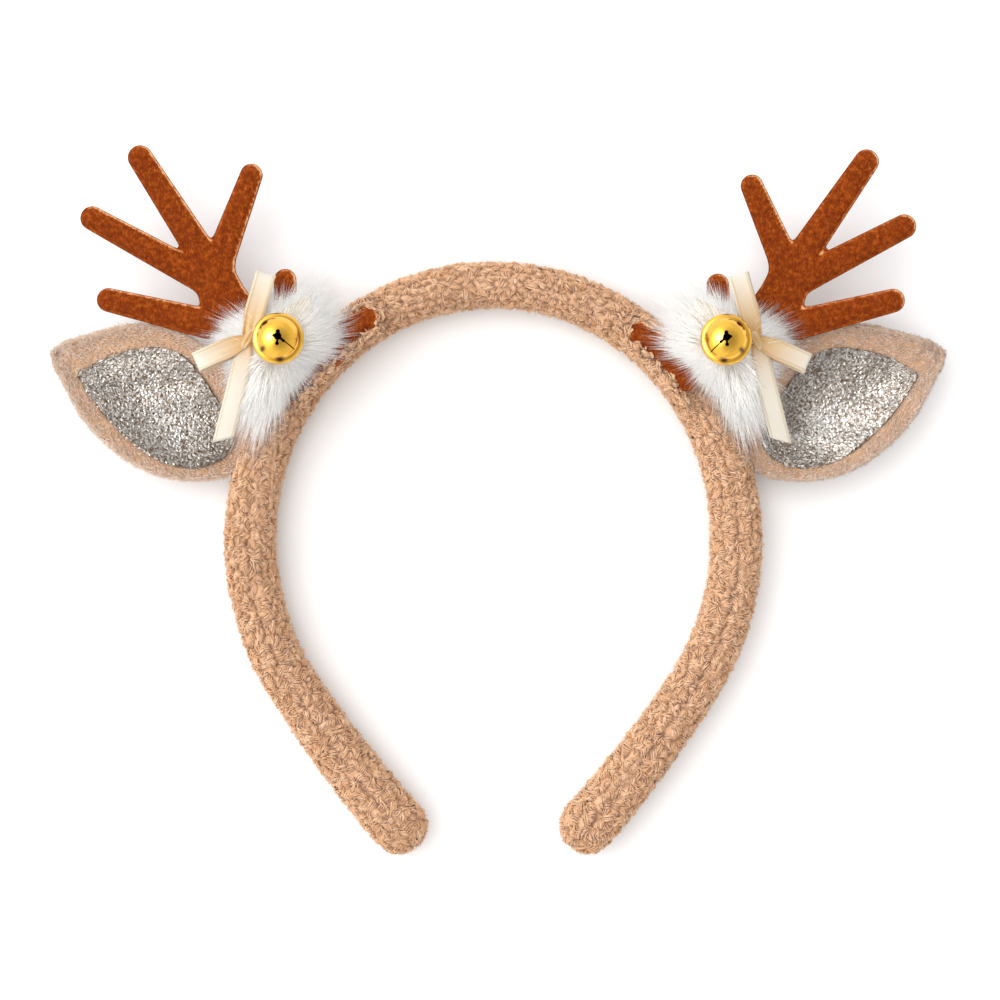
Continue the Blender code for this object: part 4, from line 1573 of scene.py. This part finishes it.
@dataclass
class Bow:
    """One satin ribbon tied in two loops and two tails."""

    cluster: Cluster
    width: float = 5.8
    wall: float = 0.35
    neck: float = 0.6
    pleat: float = 0.32
    knot: tuple[float, float, float] = (74.4, 46.8, 30.0)
    knot_turn: float = math.radians(27.0)

    def strip(
        self,
        name: str,
        path: list[tuple[float, float, float]],
        widths: list[float],
        across: tuple[float, float, float] | None,
        yellow_shade: list[float],
        slant: float = 0.0,
        material: bpy.types.Material | None = None,
    ) -> None:
        """Lays one stretch of ribbon along a path.

        Args:
            name: The piece's name.
            path: Points along its middle, in mm.
            widths: Its width at each point.
            across: The direction of its width, or None for level across the path.
            yellow_shade: How much painted shade, in a deeper yellow, it has at each point.
            slant: How far its far end is cut on the slant.
            material: The satin.
        """
        run = sum(math.dist(a, b) for a, b in zip(path, path[1:]))
        looped = float(across is not None)
        knots = np.linspace(0, 1, len(path))
        table = [(k, *p, w, t) for k, p, w, t in zip(knots, path, widths, yellow_shade)]
        columns, rows = 10 * (len(path) - 1), 10

        def shape(u: np.ndarray, v: np.ndarray) -> np.ndarray:
            at = smooth_table(table, u)
            ahead = smooth_table(table, (u + 0.01).clip(0, 1))[:, :3]
            behind = smooth_table(table, (u - 0.01).clip(0, 1))[:, :3]
            along = unit(ahead - behind)
            if across is None:
                side = unit(np.cross(along, (0.0, 0.0, 1.0)))
            else:
                side = np.broadcast_to(unit(np.array(across)), along.shape)
            normal = np.cross(side, along)
            offset = (v - 0.5) * at[:, 3]
            cup = 0.16 * (1 - (2 * v - 1) ** 2)
            tied = np.maximum(np.exp(-u * run / 2.6), np.exp(-(1 - u) * run / 2.6) * looped)
            cup = cup + self.pleat * tied * np.cos(v * 5 * math.pi)
            lead = slant * (2 * v - 1) * np.clip((u - 0.8) / 0.2, 0, 1)
            points = at[:, :3] + side * offset[:, None] + normal * cup[:, None] + along * lead[:, None]
            return to_world(points, self.cluster)

        def tone(u: np.ndarray, v: np.ndarray) -> np.ndarray:
            return smooth_table(table, u)[:, 4].clip(0, 1)

        mesh = grid_mesh(name, columns, rows, shape, tone=tone)
        bm = bmesh.new()
        bm.from_mesh(mesh)
        layer = bm.loops.layers.uv.new("ribbon")
        for face in bm.faces:
            for loop in face.loops:
                column, row = loop.vert.index % (columns + 1), loop.vert.index // (columns + 1)
                loop[layer].uv = (column / columns * run, (row / rows - 0.5) * self.width)
        bm.to_mesh(mesh)
        bm.free()
        node = f"bow_{self.cluster.side.label}"
        piece = add_piece(name, mesh, material, (node,))
        wall = piece.modifiers.new("cloth", "SOLIDIFY")
        wall.thickness = self.wall * MM
        wall.offset = 0.0

    def loop(self, name: str, start: tuple, end: tuple, puff: float, material: bpy.types.Material) -> None:
        """One loop: out behind, round the fold and back in front."""
        near, far = np.array(start), np.array(end)
        profile = [
            (-0.02, -0.3),
            (0.3, -0.85),
            (0.65, -1.0),
            (0.92, -0.8),
            (0.99, -0.35),
            (1.0, 0.1),
            (0.985, 0.55),
            (0.92, 0.9),
            (0.65, 1.0),
            (0.3, 0.75),
            (-0.02, 0.3),
        ]
        across = np.cross(far - near, (0.0, 0.0, 1.0))
        side = across / np.linalg.norm(across)
        path = []
        for share, height in profile:
            point = near + (far - near) * share + np.array((0, 0, puff * height))
            point = point + side * (0.35 if height < 0 else -0.1) * min(1.0, share * 2)
            path.append(tuple(point))
        opened = [min(1.0, max(0.0, share) / 0.3) for share, _ in profile]
        widths = [self.width * (self.neck + (1 - self.neck) * wide) for wide in opened]
        # Painted shade: deepest by the knot and on the loop's back half, which lies under its front.
        yellow_shade = [min(1.0, 0.95 - 0.9 * max(0.0, s) + (0.25 if h < 0 else 0.0)) for s, h in profile]
        self.strip(name, path, widths, tuple(across), yellow_shade, material=material)

    def build(self, material: bpy.types.Material) -> None:
        """Loops, tails and the knot."""
        label = self.cluster.side.label
        self.loop(f"bow_{label}_loop_upper", (74.1, 48.2, 30.0), (69.0, 66.0, 30.4), 1.2, material)
        self.loop(f"bow_{label}_loop_side", (75.2, 46.4, 30.0), (89.6, 40.1, 29.0), 1.1, material)
        wide, neck = self.width, self.width * self.neck
        self.strip(
            f"bow_{label}_tail_lower",
            [
                (74.8, 46.2, 29.8),
                (75.8, 41.4, 29.4),
                (77.6, 33.6, 28.6),
                (79.6, 26.2, 27.6),
                (82.0, 17.6, 25.4),
            ],
            [neck, wide * 0.92, wide, wide, wide],
            None,
            # Painted shade along the tail, deepest by the knot.
            [0.85, 0.35, 0.12, 0.05, 0.08],
            -1.8,
            material,
        )
        self.strip(
            f"bow_{label}_tail_inner",
            [
                (73.8, 47.8, 29.5),
                (68.6, 50.4, 28.9),
                (63.4, 53.2, 28.85),
                (59.4, 55.0, 28.8),
                (55.7, 56.8, 28.6),
            ],
            [neck, wide * 0.9, wide, wide, wide],
            None,
            # Painted shade along the tail, deepest by the knot.
            [0.85, 0.5, 0.2, 0.1, 0.05],
            1.0,
            material,
        )
        self.tie(material)

    def tie(self, material: bpy.types.Material) -> None:
        """The knot: a small bolster, ridged where the ribbon that wraps it is folded."""
        label = self.cluster.side.label

        def shape(u: np.ndarray, v: np.ndarray) -> np.ndarray:
            a, b = u * 2 * math.pi, (v - 0.5) * math.pi
            fold = 1 + 0.12 * np.sin(np.cos(a) * 7 + 0.9 * np.sin(b))
            x = 1.45 * np.cos(a) * np.abs(np.cos(b)) ** 0.5 * fold
            z = 1.7 * np.sin(a) * np.abs(np.cos(b)) ** 0.5 * fold
            y = 2.9 * np.sin(b) + 0.25 * np.sin(a * 3) * np.cos(b)
            c, s = math.cos(self.knot_turn), math.sin(self.knot_turn)
            points = np.stack([x * c - y * s, x * s + y * c, z], axis=1) + self.knot
            return to_world(points, self.cluster)

        # Painted shade: deepest in the middle of the knot.
        def tone(u: np.ndarray, v: np.ndarray) -> np.ndarray:
            return 0.3 + 0.55 * np.sin(v * math.pi) + 0 * u

        mesh = grid_mesh(f"bow_{label}_knot", 40, 26, shape, 0.00001, tone)
        layer = mesh.uv_layers.new(name="ribbon")
        layer.data.foreach_set("uv", np.zeros(len(mesh.loops) * 2, np.float32))
        add_piece(f"bow_{label}_knot", mesh, material, (f"bow_{label}",))


@dataclass
class Bell:
    """A pressed bell: two domes crimped at a belt, with a cross-shaped mouth and one long slit."""

    cluster: Cluster
    centre: tuple[float, float, float] = (64.9, 46.5, 36.8)
    radius: float = 7.5
    wall: float = 0.45
    steps: int = 108
    tilt_y: float = math.radians(4.0)
    tilt_in: float = math.radians(3.3)
    arms: tuple[tuple[float, float, float, float], ...] = (
        (94.0, 1.4, 0.6, 0.6),
        (8.0, 1.3, 0.36, 0.5),
        (274.0, 2.1, 0.54, 0.3),
        (218.0, 2.1, 0.46, 0.36),
    )
    heart: float = 1.12
    # Painted dark reflections and shade at the crimp creases, each over a small real dent: bearing in degrees,
    # radius, spread in degrees and radial spread, in mm.
    dark_reflection_marks: tuple[tuple[float, float, float, float], ...] = (
        (47.0, 5.8, 11.0, 0.55),
        (322.0, 5.6, 7.0, 0.7),
        (264.0, 6.45, 9.0, 0.5),
        (175.0, 6.2, 13.0, 0.13),
        (88.0, 7.15, 9.0, 0.2),
    )
    slit_width: float = 0.34
    slit_reach: float = 6.3
    shank_wire: float = 0.4
    shank_ring: float = 1.3
    shank_depth: float = 7.75

    def pose(self) -> Matrix:
        """How the bell sits, from its own frame in mm to the headband's in metres."""
        lean = Matrix.Rotation(-self.tilt_y, 4, "X") @ Matrix.Rotation(-self.tilt_in, 4, "Y")
        place = Matrix.Translation(Vector(self.centre)) @ lean
        side = Matrix.Diagonal((self.cluster.side.value, 1.0, 1.0, 1.0))
        move = Matrix.Translation((self.cluster.shift, self.cluster.lift + ORIGIN_Y, 0.0))
        return Matrix.Scale(MM, 4) @ move @ side @ place

    def profile(self) -> list[tuple[float, float]]:
        """The shell's outline: the front dome, a step down to the rolled belt, and the back dome."""
        dome, belt_in, belt = 7.0, 6.2, 1.3
        points = [(0.0, dome)]
        for i in range(1, 23):
            a = math.radians(60 * i / 22)
            points.append((dome * math.sin(a), dome * math.cos(a)))
        points += [(6.12, 3.2), (6.12, 2.95)]
        for i in range(9):
            a = math.radians(90 - 90 * i / 8)
            points.append((belt_in + belt * math.cos(a), 1.55 + belt * math.sin(a)))
        points += [(7.5, -0.6), (7.35, -1.3)]
        for i in range(1, 20):
            a = math.radians(-12 - i * 78 / 19)
            points.append((7.4 * math.cos(a), 7.4 * math.sin(a)))
        points[-1] = (0.0, -7.4)
        return points

    def shell(self) -> bpy.types.Mesh:
        """Spins the outline and gives it a wall."""
        bm = bmesh.new()
        verts = [bm.verts.new((r, 0.0, z)) for r, z in self.profile()]
        for near, far in zip(verts, verts[1:]):
            bm.edges.new((near, far))
        bmesh.ops.spin(
            bm,
            geom=bm.verts[:] + bm.edges[:],
            axis=(0, 0, 1),
            cent=(0, 0, 0),
            angle=2 * math.pi,
            steps=self.steps,
            use_merge=True,
        )
        bmesh.ops.remove_doubles(bm, verts=bm.verts, dist=0.0005)
        bmesh.ops.recalc_face_normals(bm, faces=bm.faces)
        layer = bm.verts.layers.float.new("tone")
        for vert in bm.verts:
            reach = math.hypot(vert.co.x, vert.co.y)
            bearing = math.degrees(math.atan2(vert.co.y, vert.co.x))
            shade = 0.0
            if vert.co.z > 0:
                for at, middle, wide, deep in self.dark_reflection_marks:
                    turned = (bearing - at + 180) % 360 - 180
                    shade = max(shade, math.exp(-((turned / wide) ** 2) - (((reach - middle) / deep) ** 2)))
            # Painted dark reflections and shade go into the tone; the small dent under them is real.
            vert[layer] = min(1.0, 1.5 * shade)
            vert.co -= vert.co.normalized() * 0.1 * shade
        mesh = take_mesh(bm, "shell")
        return mesh

    def cutter(self) -> bpy.types.Object:
        """The mouth's cross and the slit, as one upright tool."""
        bm = bmesh.new()
        turn_z = math.radians(self.cluster.slit)
        for bearing, reach, half, neck in self.arms:
            way = Vector((math.cos(math.radians(bearing)), math.sin(math.radians(bearing)), 0.0))
            knob = bmesh.ops.create_cone(bm, cap_ends=True, segments=20, radius1=half, radius2=half, depth=6.0)
            bmesh.ops.translate(bm, verts=knob["verts"], vec=way * reach + Vector((0, 0, 6.5)))
            bar = bmesh.ops.create_cube(bm, size=1.0)["verts"]
            bmesh.ops.scale(bm, verts=bar, vec=(reach, neck * 2, 5.9))
            bmesh.ops.translate(bm, verts=bar, vec=(reach / 2, 0.0, 6.5))
            spin = Matrix.Rotation(math.radians(bearing), 3, "Z")
            bmesh.ops.rotate(bm, verts=bar, matrix=spin, cent=(0, 0, 0))
        middle = bmesh.ops.create_cone(
            bm, cap_ends=True, segments=24, radius1=self.heart, radius2=self.heart, depth=5.8
        )
        bmesh.ops.translate(bm, verts=middle["verts"], vec=(0, 0, 6.5))
        slit = bmesh.ops.create_cube(bm, size=1.0)["verts"]
        bmesh.ops.scale(bm, verts=slit, vec=(self.slit_reach, self.slit_width, 7.5))
        bmesh.ops.translate(bm, verts=slit, vec=(self.slit_reach / 2, 0.0, 6.5))
        bmesh.ops.rotate(bm, verts=slit, matrix=Matrix.Rotation(turn_z, 3, "Z"), cent=(0, 0, 0))
        mesh = take_mesh(bm, "mouth_tool")
        tool = bpy.data.objects.new("mouth_tool", mesh)
        bpy.context.scene.collection.objects.link(tool)
        return tool

    def build(self, gold: bpy.types.Material, inside: bpy.types.Material) -> None:
        """Cuts the shell, turns it to its pose and adds the wire shank."""
        label = self.cluster.side.label
        blank = bpy.data.objects.new("bell_blank", self.shell())
        bpy.context.scene.collection.objects.link(blank)
        blank.data.materials.append(gold)
        blank.data.materials.append(inside)
        wall = blank.modifiers.new("wall", "SOLIDIFY")
        wall.thickness = self.wall
        wall.offset = -1.0
        # The inner faces take the darkened steel: painted shade in the hollow.
        wall.material_offset = 1
        tool = self.cutter()
        cut = blank.modifiers.new("mouth", "BOOLEAN")
        cut.operation = "DIFFERENCE"
        cut.object = tool
        cut.solver = "EXACT"
        cut.use_self = True
        evaluated = blank.evaluated_get(bpy.context.evaluated_depsgraph_get())
        mesh = bpy.data.meshes.new_from_object(evaluated)
        mesh.name = f"bell_{label}_shell"
        for spare in (blank, tool):
            bpy.data.objects.remove(spare)
        mesh.transform(self.pose())
        if self.cluster.side.value < 0:
            mesh.flip_normals()
        mesh.shade_smooth()
        mesh.set_sharp_from_angle(angle=math.radians(38))
        add_piece(f"bell_{label}_shell", mesh, gold, (f"bell_{label}",))
        bm = bmesh.new()
        ring = bmesh.ops.create_circle(bm, segments=10, radius=self.shank_wire)["verts"]
        bmesh.ops.rotate(bm, verts=ring, matrix=Matrix.Rotation(math.pi / 2, 3, "X"))
        bmesh.ops.translate(bm, verts=ring, vec=(self.shank_ring, 0, 0))
        bmesh.ops.spin(
            bm,
            geom=bm.verts[:] + bm.edges[:],
            axis=(0, 0, 1),
            cent=(0, 0, 0),
            angle=2 * math.pi,
            steps=24,
            use_merge=True,
        )
        bmesh.ops.rotate(bm, verts=bm.verts, matrix=Matrix.Rotation(math.pi / 2, 3, "X"))
        bmesh.ops.translate(bm, verts=bm.verts, vec=(0, 0, -self.shank_depth))
        bmesh.ops.transform(bm, verts=bm.verts, matrix=self.pose())
        bmesh.ops.recalc_face_normals(bm, faces=bm.faces)
        mesh = take_mesh(bm, f"bell_{label}_shank")
        mesh.shade_smooth()
        add_piece(f"bell_{label}_shank", mesh, gold, (f"bell_{label}",))


@dataclass
class Studio:
    """The white table, the soft lights and the camera straight above."""

    height: float = 0.8
    level: float = 0.010
    frame_width: float = 0.300
    sensor: float = 36.0
    aim: tuple[float, float] = (0.0006, 0.0011)
    floor_size: float = 3.0
    overhead_size: float = 1.6
    overhead_power: float = 16.0
    overhead_place: tuple[float, float, float] = (-0.25, 0.2, 1.6)
    window_way: tuple[float, float, float] = (-0.74, 0.12, 0.66)
    window: tuple[float, float, float] = (0.75, 0.5, 1.7)
    lamp_way: tuple[float, float, float] = (-0.62, 0.14, 0.78)
    lamp: tuple[float, float, float] = (0.34, 0.3, 14.0)

    def build(self) -> None:
        """Lays the floor, hangs the lights and sets the camera."""
        bm = bmesh.new()
        bmesh.ops.create_grid(bm, x_segments=2, y_segments=2, size=self.floor_size / 2)
        mesh = take_mesh(bm, "table")
        # Matt white paper: an even diffuse ground
        paper, shader = base_material("matt_white_paper", Roughness=0.9, Specular_IOR_Level=0.1)
        shader.inputs["Base Color"].default_value = linear("F3F3F3")
        mesh.materials.append(paper)
        table = bpy.data.objects.new("table", mesh)
        bpy.context.scene.collection.objects.link(table)
        self.lights()
        self.camera()

    def lights(self) -> None:
        """A soft overhead box, and the room: a wide window at the left under a darker ceiling.

        The room is what the metal mirrors, and the camera itself sees it plain. The lamp lobe is seen
        in mirrors alone and stands in for the overhead lamp, which mirrors do not see.
        """
        lamp = bpy.data.lights.new("overhead", "AREA")
        lamp.shape = "DISK"
        lamp.size = self.overhead_size
        lamp.energy = self.overhead_power
        holder = bpy.data.objects.new("overhead", lamp)
        holder.location = self.overhead_place
        holder.rotation_euler = (-holder.location).to_track_quat("-Z", "Y").to_euler()
        holder.visible_glossy = False
        bpy.context.scene.collection.objects.link(holder)
        world = bpy.data.worlds.new("studio_room")
        world.use_nodes = True
        tree = world.node_tree
        room = tree.nodes["Background"]
        room.inputs["Strength"].default_value = 1.0
        way = add_node(tree, "ShaderNodeTexCoord").outputs["Generated"]
        split = add_node(tree, "ShaderNodeSeparateXYZ", {0: way})
        ramp = add_node(tree, "ShaderNodeValToRGB", {0: split.outputs["Z"]})
        set_ramp(ramp, [(0.0, "FFFFFF"), (0.35, "FAFAFA"), (0.75, "C8C8C8"), (1.0, "A4A4A4")])
        window = self.lobe(tree, way, Vector(self.window_way), *self.window)
        lamp_seen = self.lobe(tree, way, Vector(self.lamp_way), *self.lamp)
        path = add_node(tree, "ShaderNodeLightPath")
        mirrored = calc(tree, "MULTIPLY_ADD", lamp_seen, path.outputs["Is Glossy Ray"], window)
        lit = add_node(
            tree,
            "ShaderNodeMixRGB",
            {0: 1.0, 1: ramp.outputs["Color"], 2: mirrored},
            blend_type="ADD",
        )
        tree.links.new(lit.outputs[0], room.inputs["Color"])
        plain = add_node(tree, "ShaderNodeBackground", {"Color": linear("FAFAFA"), "Strength": 1.0})
        seen = add_node(
            tree,
            "ShaderNodeMixShader",
            {0: path.outputs["Is Camera Ray"], 1: room.outputs[0], 2: plain.outputs[0]},
        )
        tree.links.new(seen.outputs[0], tree.nodes["World Output"].inputs["Surface"])
        bpy.context.scene.world = world
        bpy.context.scene.view_settings.view_transform = "Standard"

    def lobe(
        self,
        tree: bpy.types.NodeTree,
        way: bpy.types.NodeSocket,
        middle: Vector,
        wide: float,
        tall: float,
        peak: float,
    ) -> bpy.types.NodeSocket:
        """A soft elliptic patch of light in the room.

        Args:
            tree: The world's nodes.
            way: The direction looked in.
            middle: The direction of the patch.
            wide: Its level half width.
            tall: Its upright half width.
            peak: Its brightness in the middle.

        Returns:
            Its brightness in the direction looked in.
        """
        centre = middle.normalized()
        level = Vector((0.0, 0.0, 1.0)).cross(centre).normalized()
        upright = centre.cross(level)
        offsets = []
        for axis, half in ((level, wide), (upright, tall)):
            part = add_node(
                tree, "ShaderNodeVectorMath", {0: way, 1: tuple(axis / half)}, operation="DOT_PRODUCT"
            )
            offsets.append(calc(tree, "POWER", part.outputs["Value"], 2.0))
        fade = calc(tree, "POWER", math.exp(-1), calc(tree, "ADD", *offsets))
        facing = add_node(
            tree, "ShaderNodeVectorMath", {0: way, 1: tuple(centre)}, operation="DOT_PRODUCT"
        )
        ahead = calc(tree, "GREATER_THAN", facing.outputs["Value"], 0.0)
        return calc(tree, "MULTIPLY", calc(tree, "MULTIPLY", fade, peak), ahead)

    def camera(self) -> None:
        """A long lens looking straight down, framed as the photograph is."""
        lens = bpy.data.cameras.new("camera")
        lens.sensor_width = self.sensor
        lens.lens = self.sensor * (self.height - self.level) / self.frame_width
        lens.clip_end = 10.0
        eye = bpy.data.objects.new("camera", lens)
        eye.location = (*self.aim, self.height)
        bpy.context.scene.collection.objects.link(eye)
        bpy.context.scene.camera = eye


def main() -> None:
    """Builds the headband piece by piece, then the studio."""
    logging.basicConfig(level=logging.INFO, format="%(name)s %(message)s")
    band = Band()
    sherpa, plush = SHERPA.build(), EAR_PLUSH.build()
    velour, glitter = VelourFinish().build(), GlitterFinish().build()
    fur, satin, gold, shaded_inside = WHITE_FUR.build(), SatinFinish().build(), GOLD.build(), SHADED_INSIDE_STEEL.build()
    pellet = PELLET_STEEL.build()
    band.build(sherpa)
    for cluster in CLUSTERS:
        antler = Antler(cluster, band)
        antler.build(velour)
        antler.collar(sherpa)
        ear = Ear(cluster)
        ear.build_leaf(plush)
        ear.build_panel(glitter)
        FurTuft(cluster, antler).build(fur)
        Bow(cluster).build(satin)
        Bell(cluster).build(gold, shaded_inside)
        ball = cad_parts[f"bell_pellet_{cluster.side.label}"]
        for slot in ball.material_slots:
            slot.material = pellet
    Studio().build()


if __name__ == "__main__":
    main()
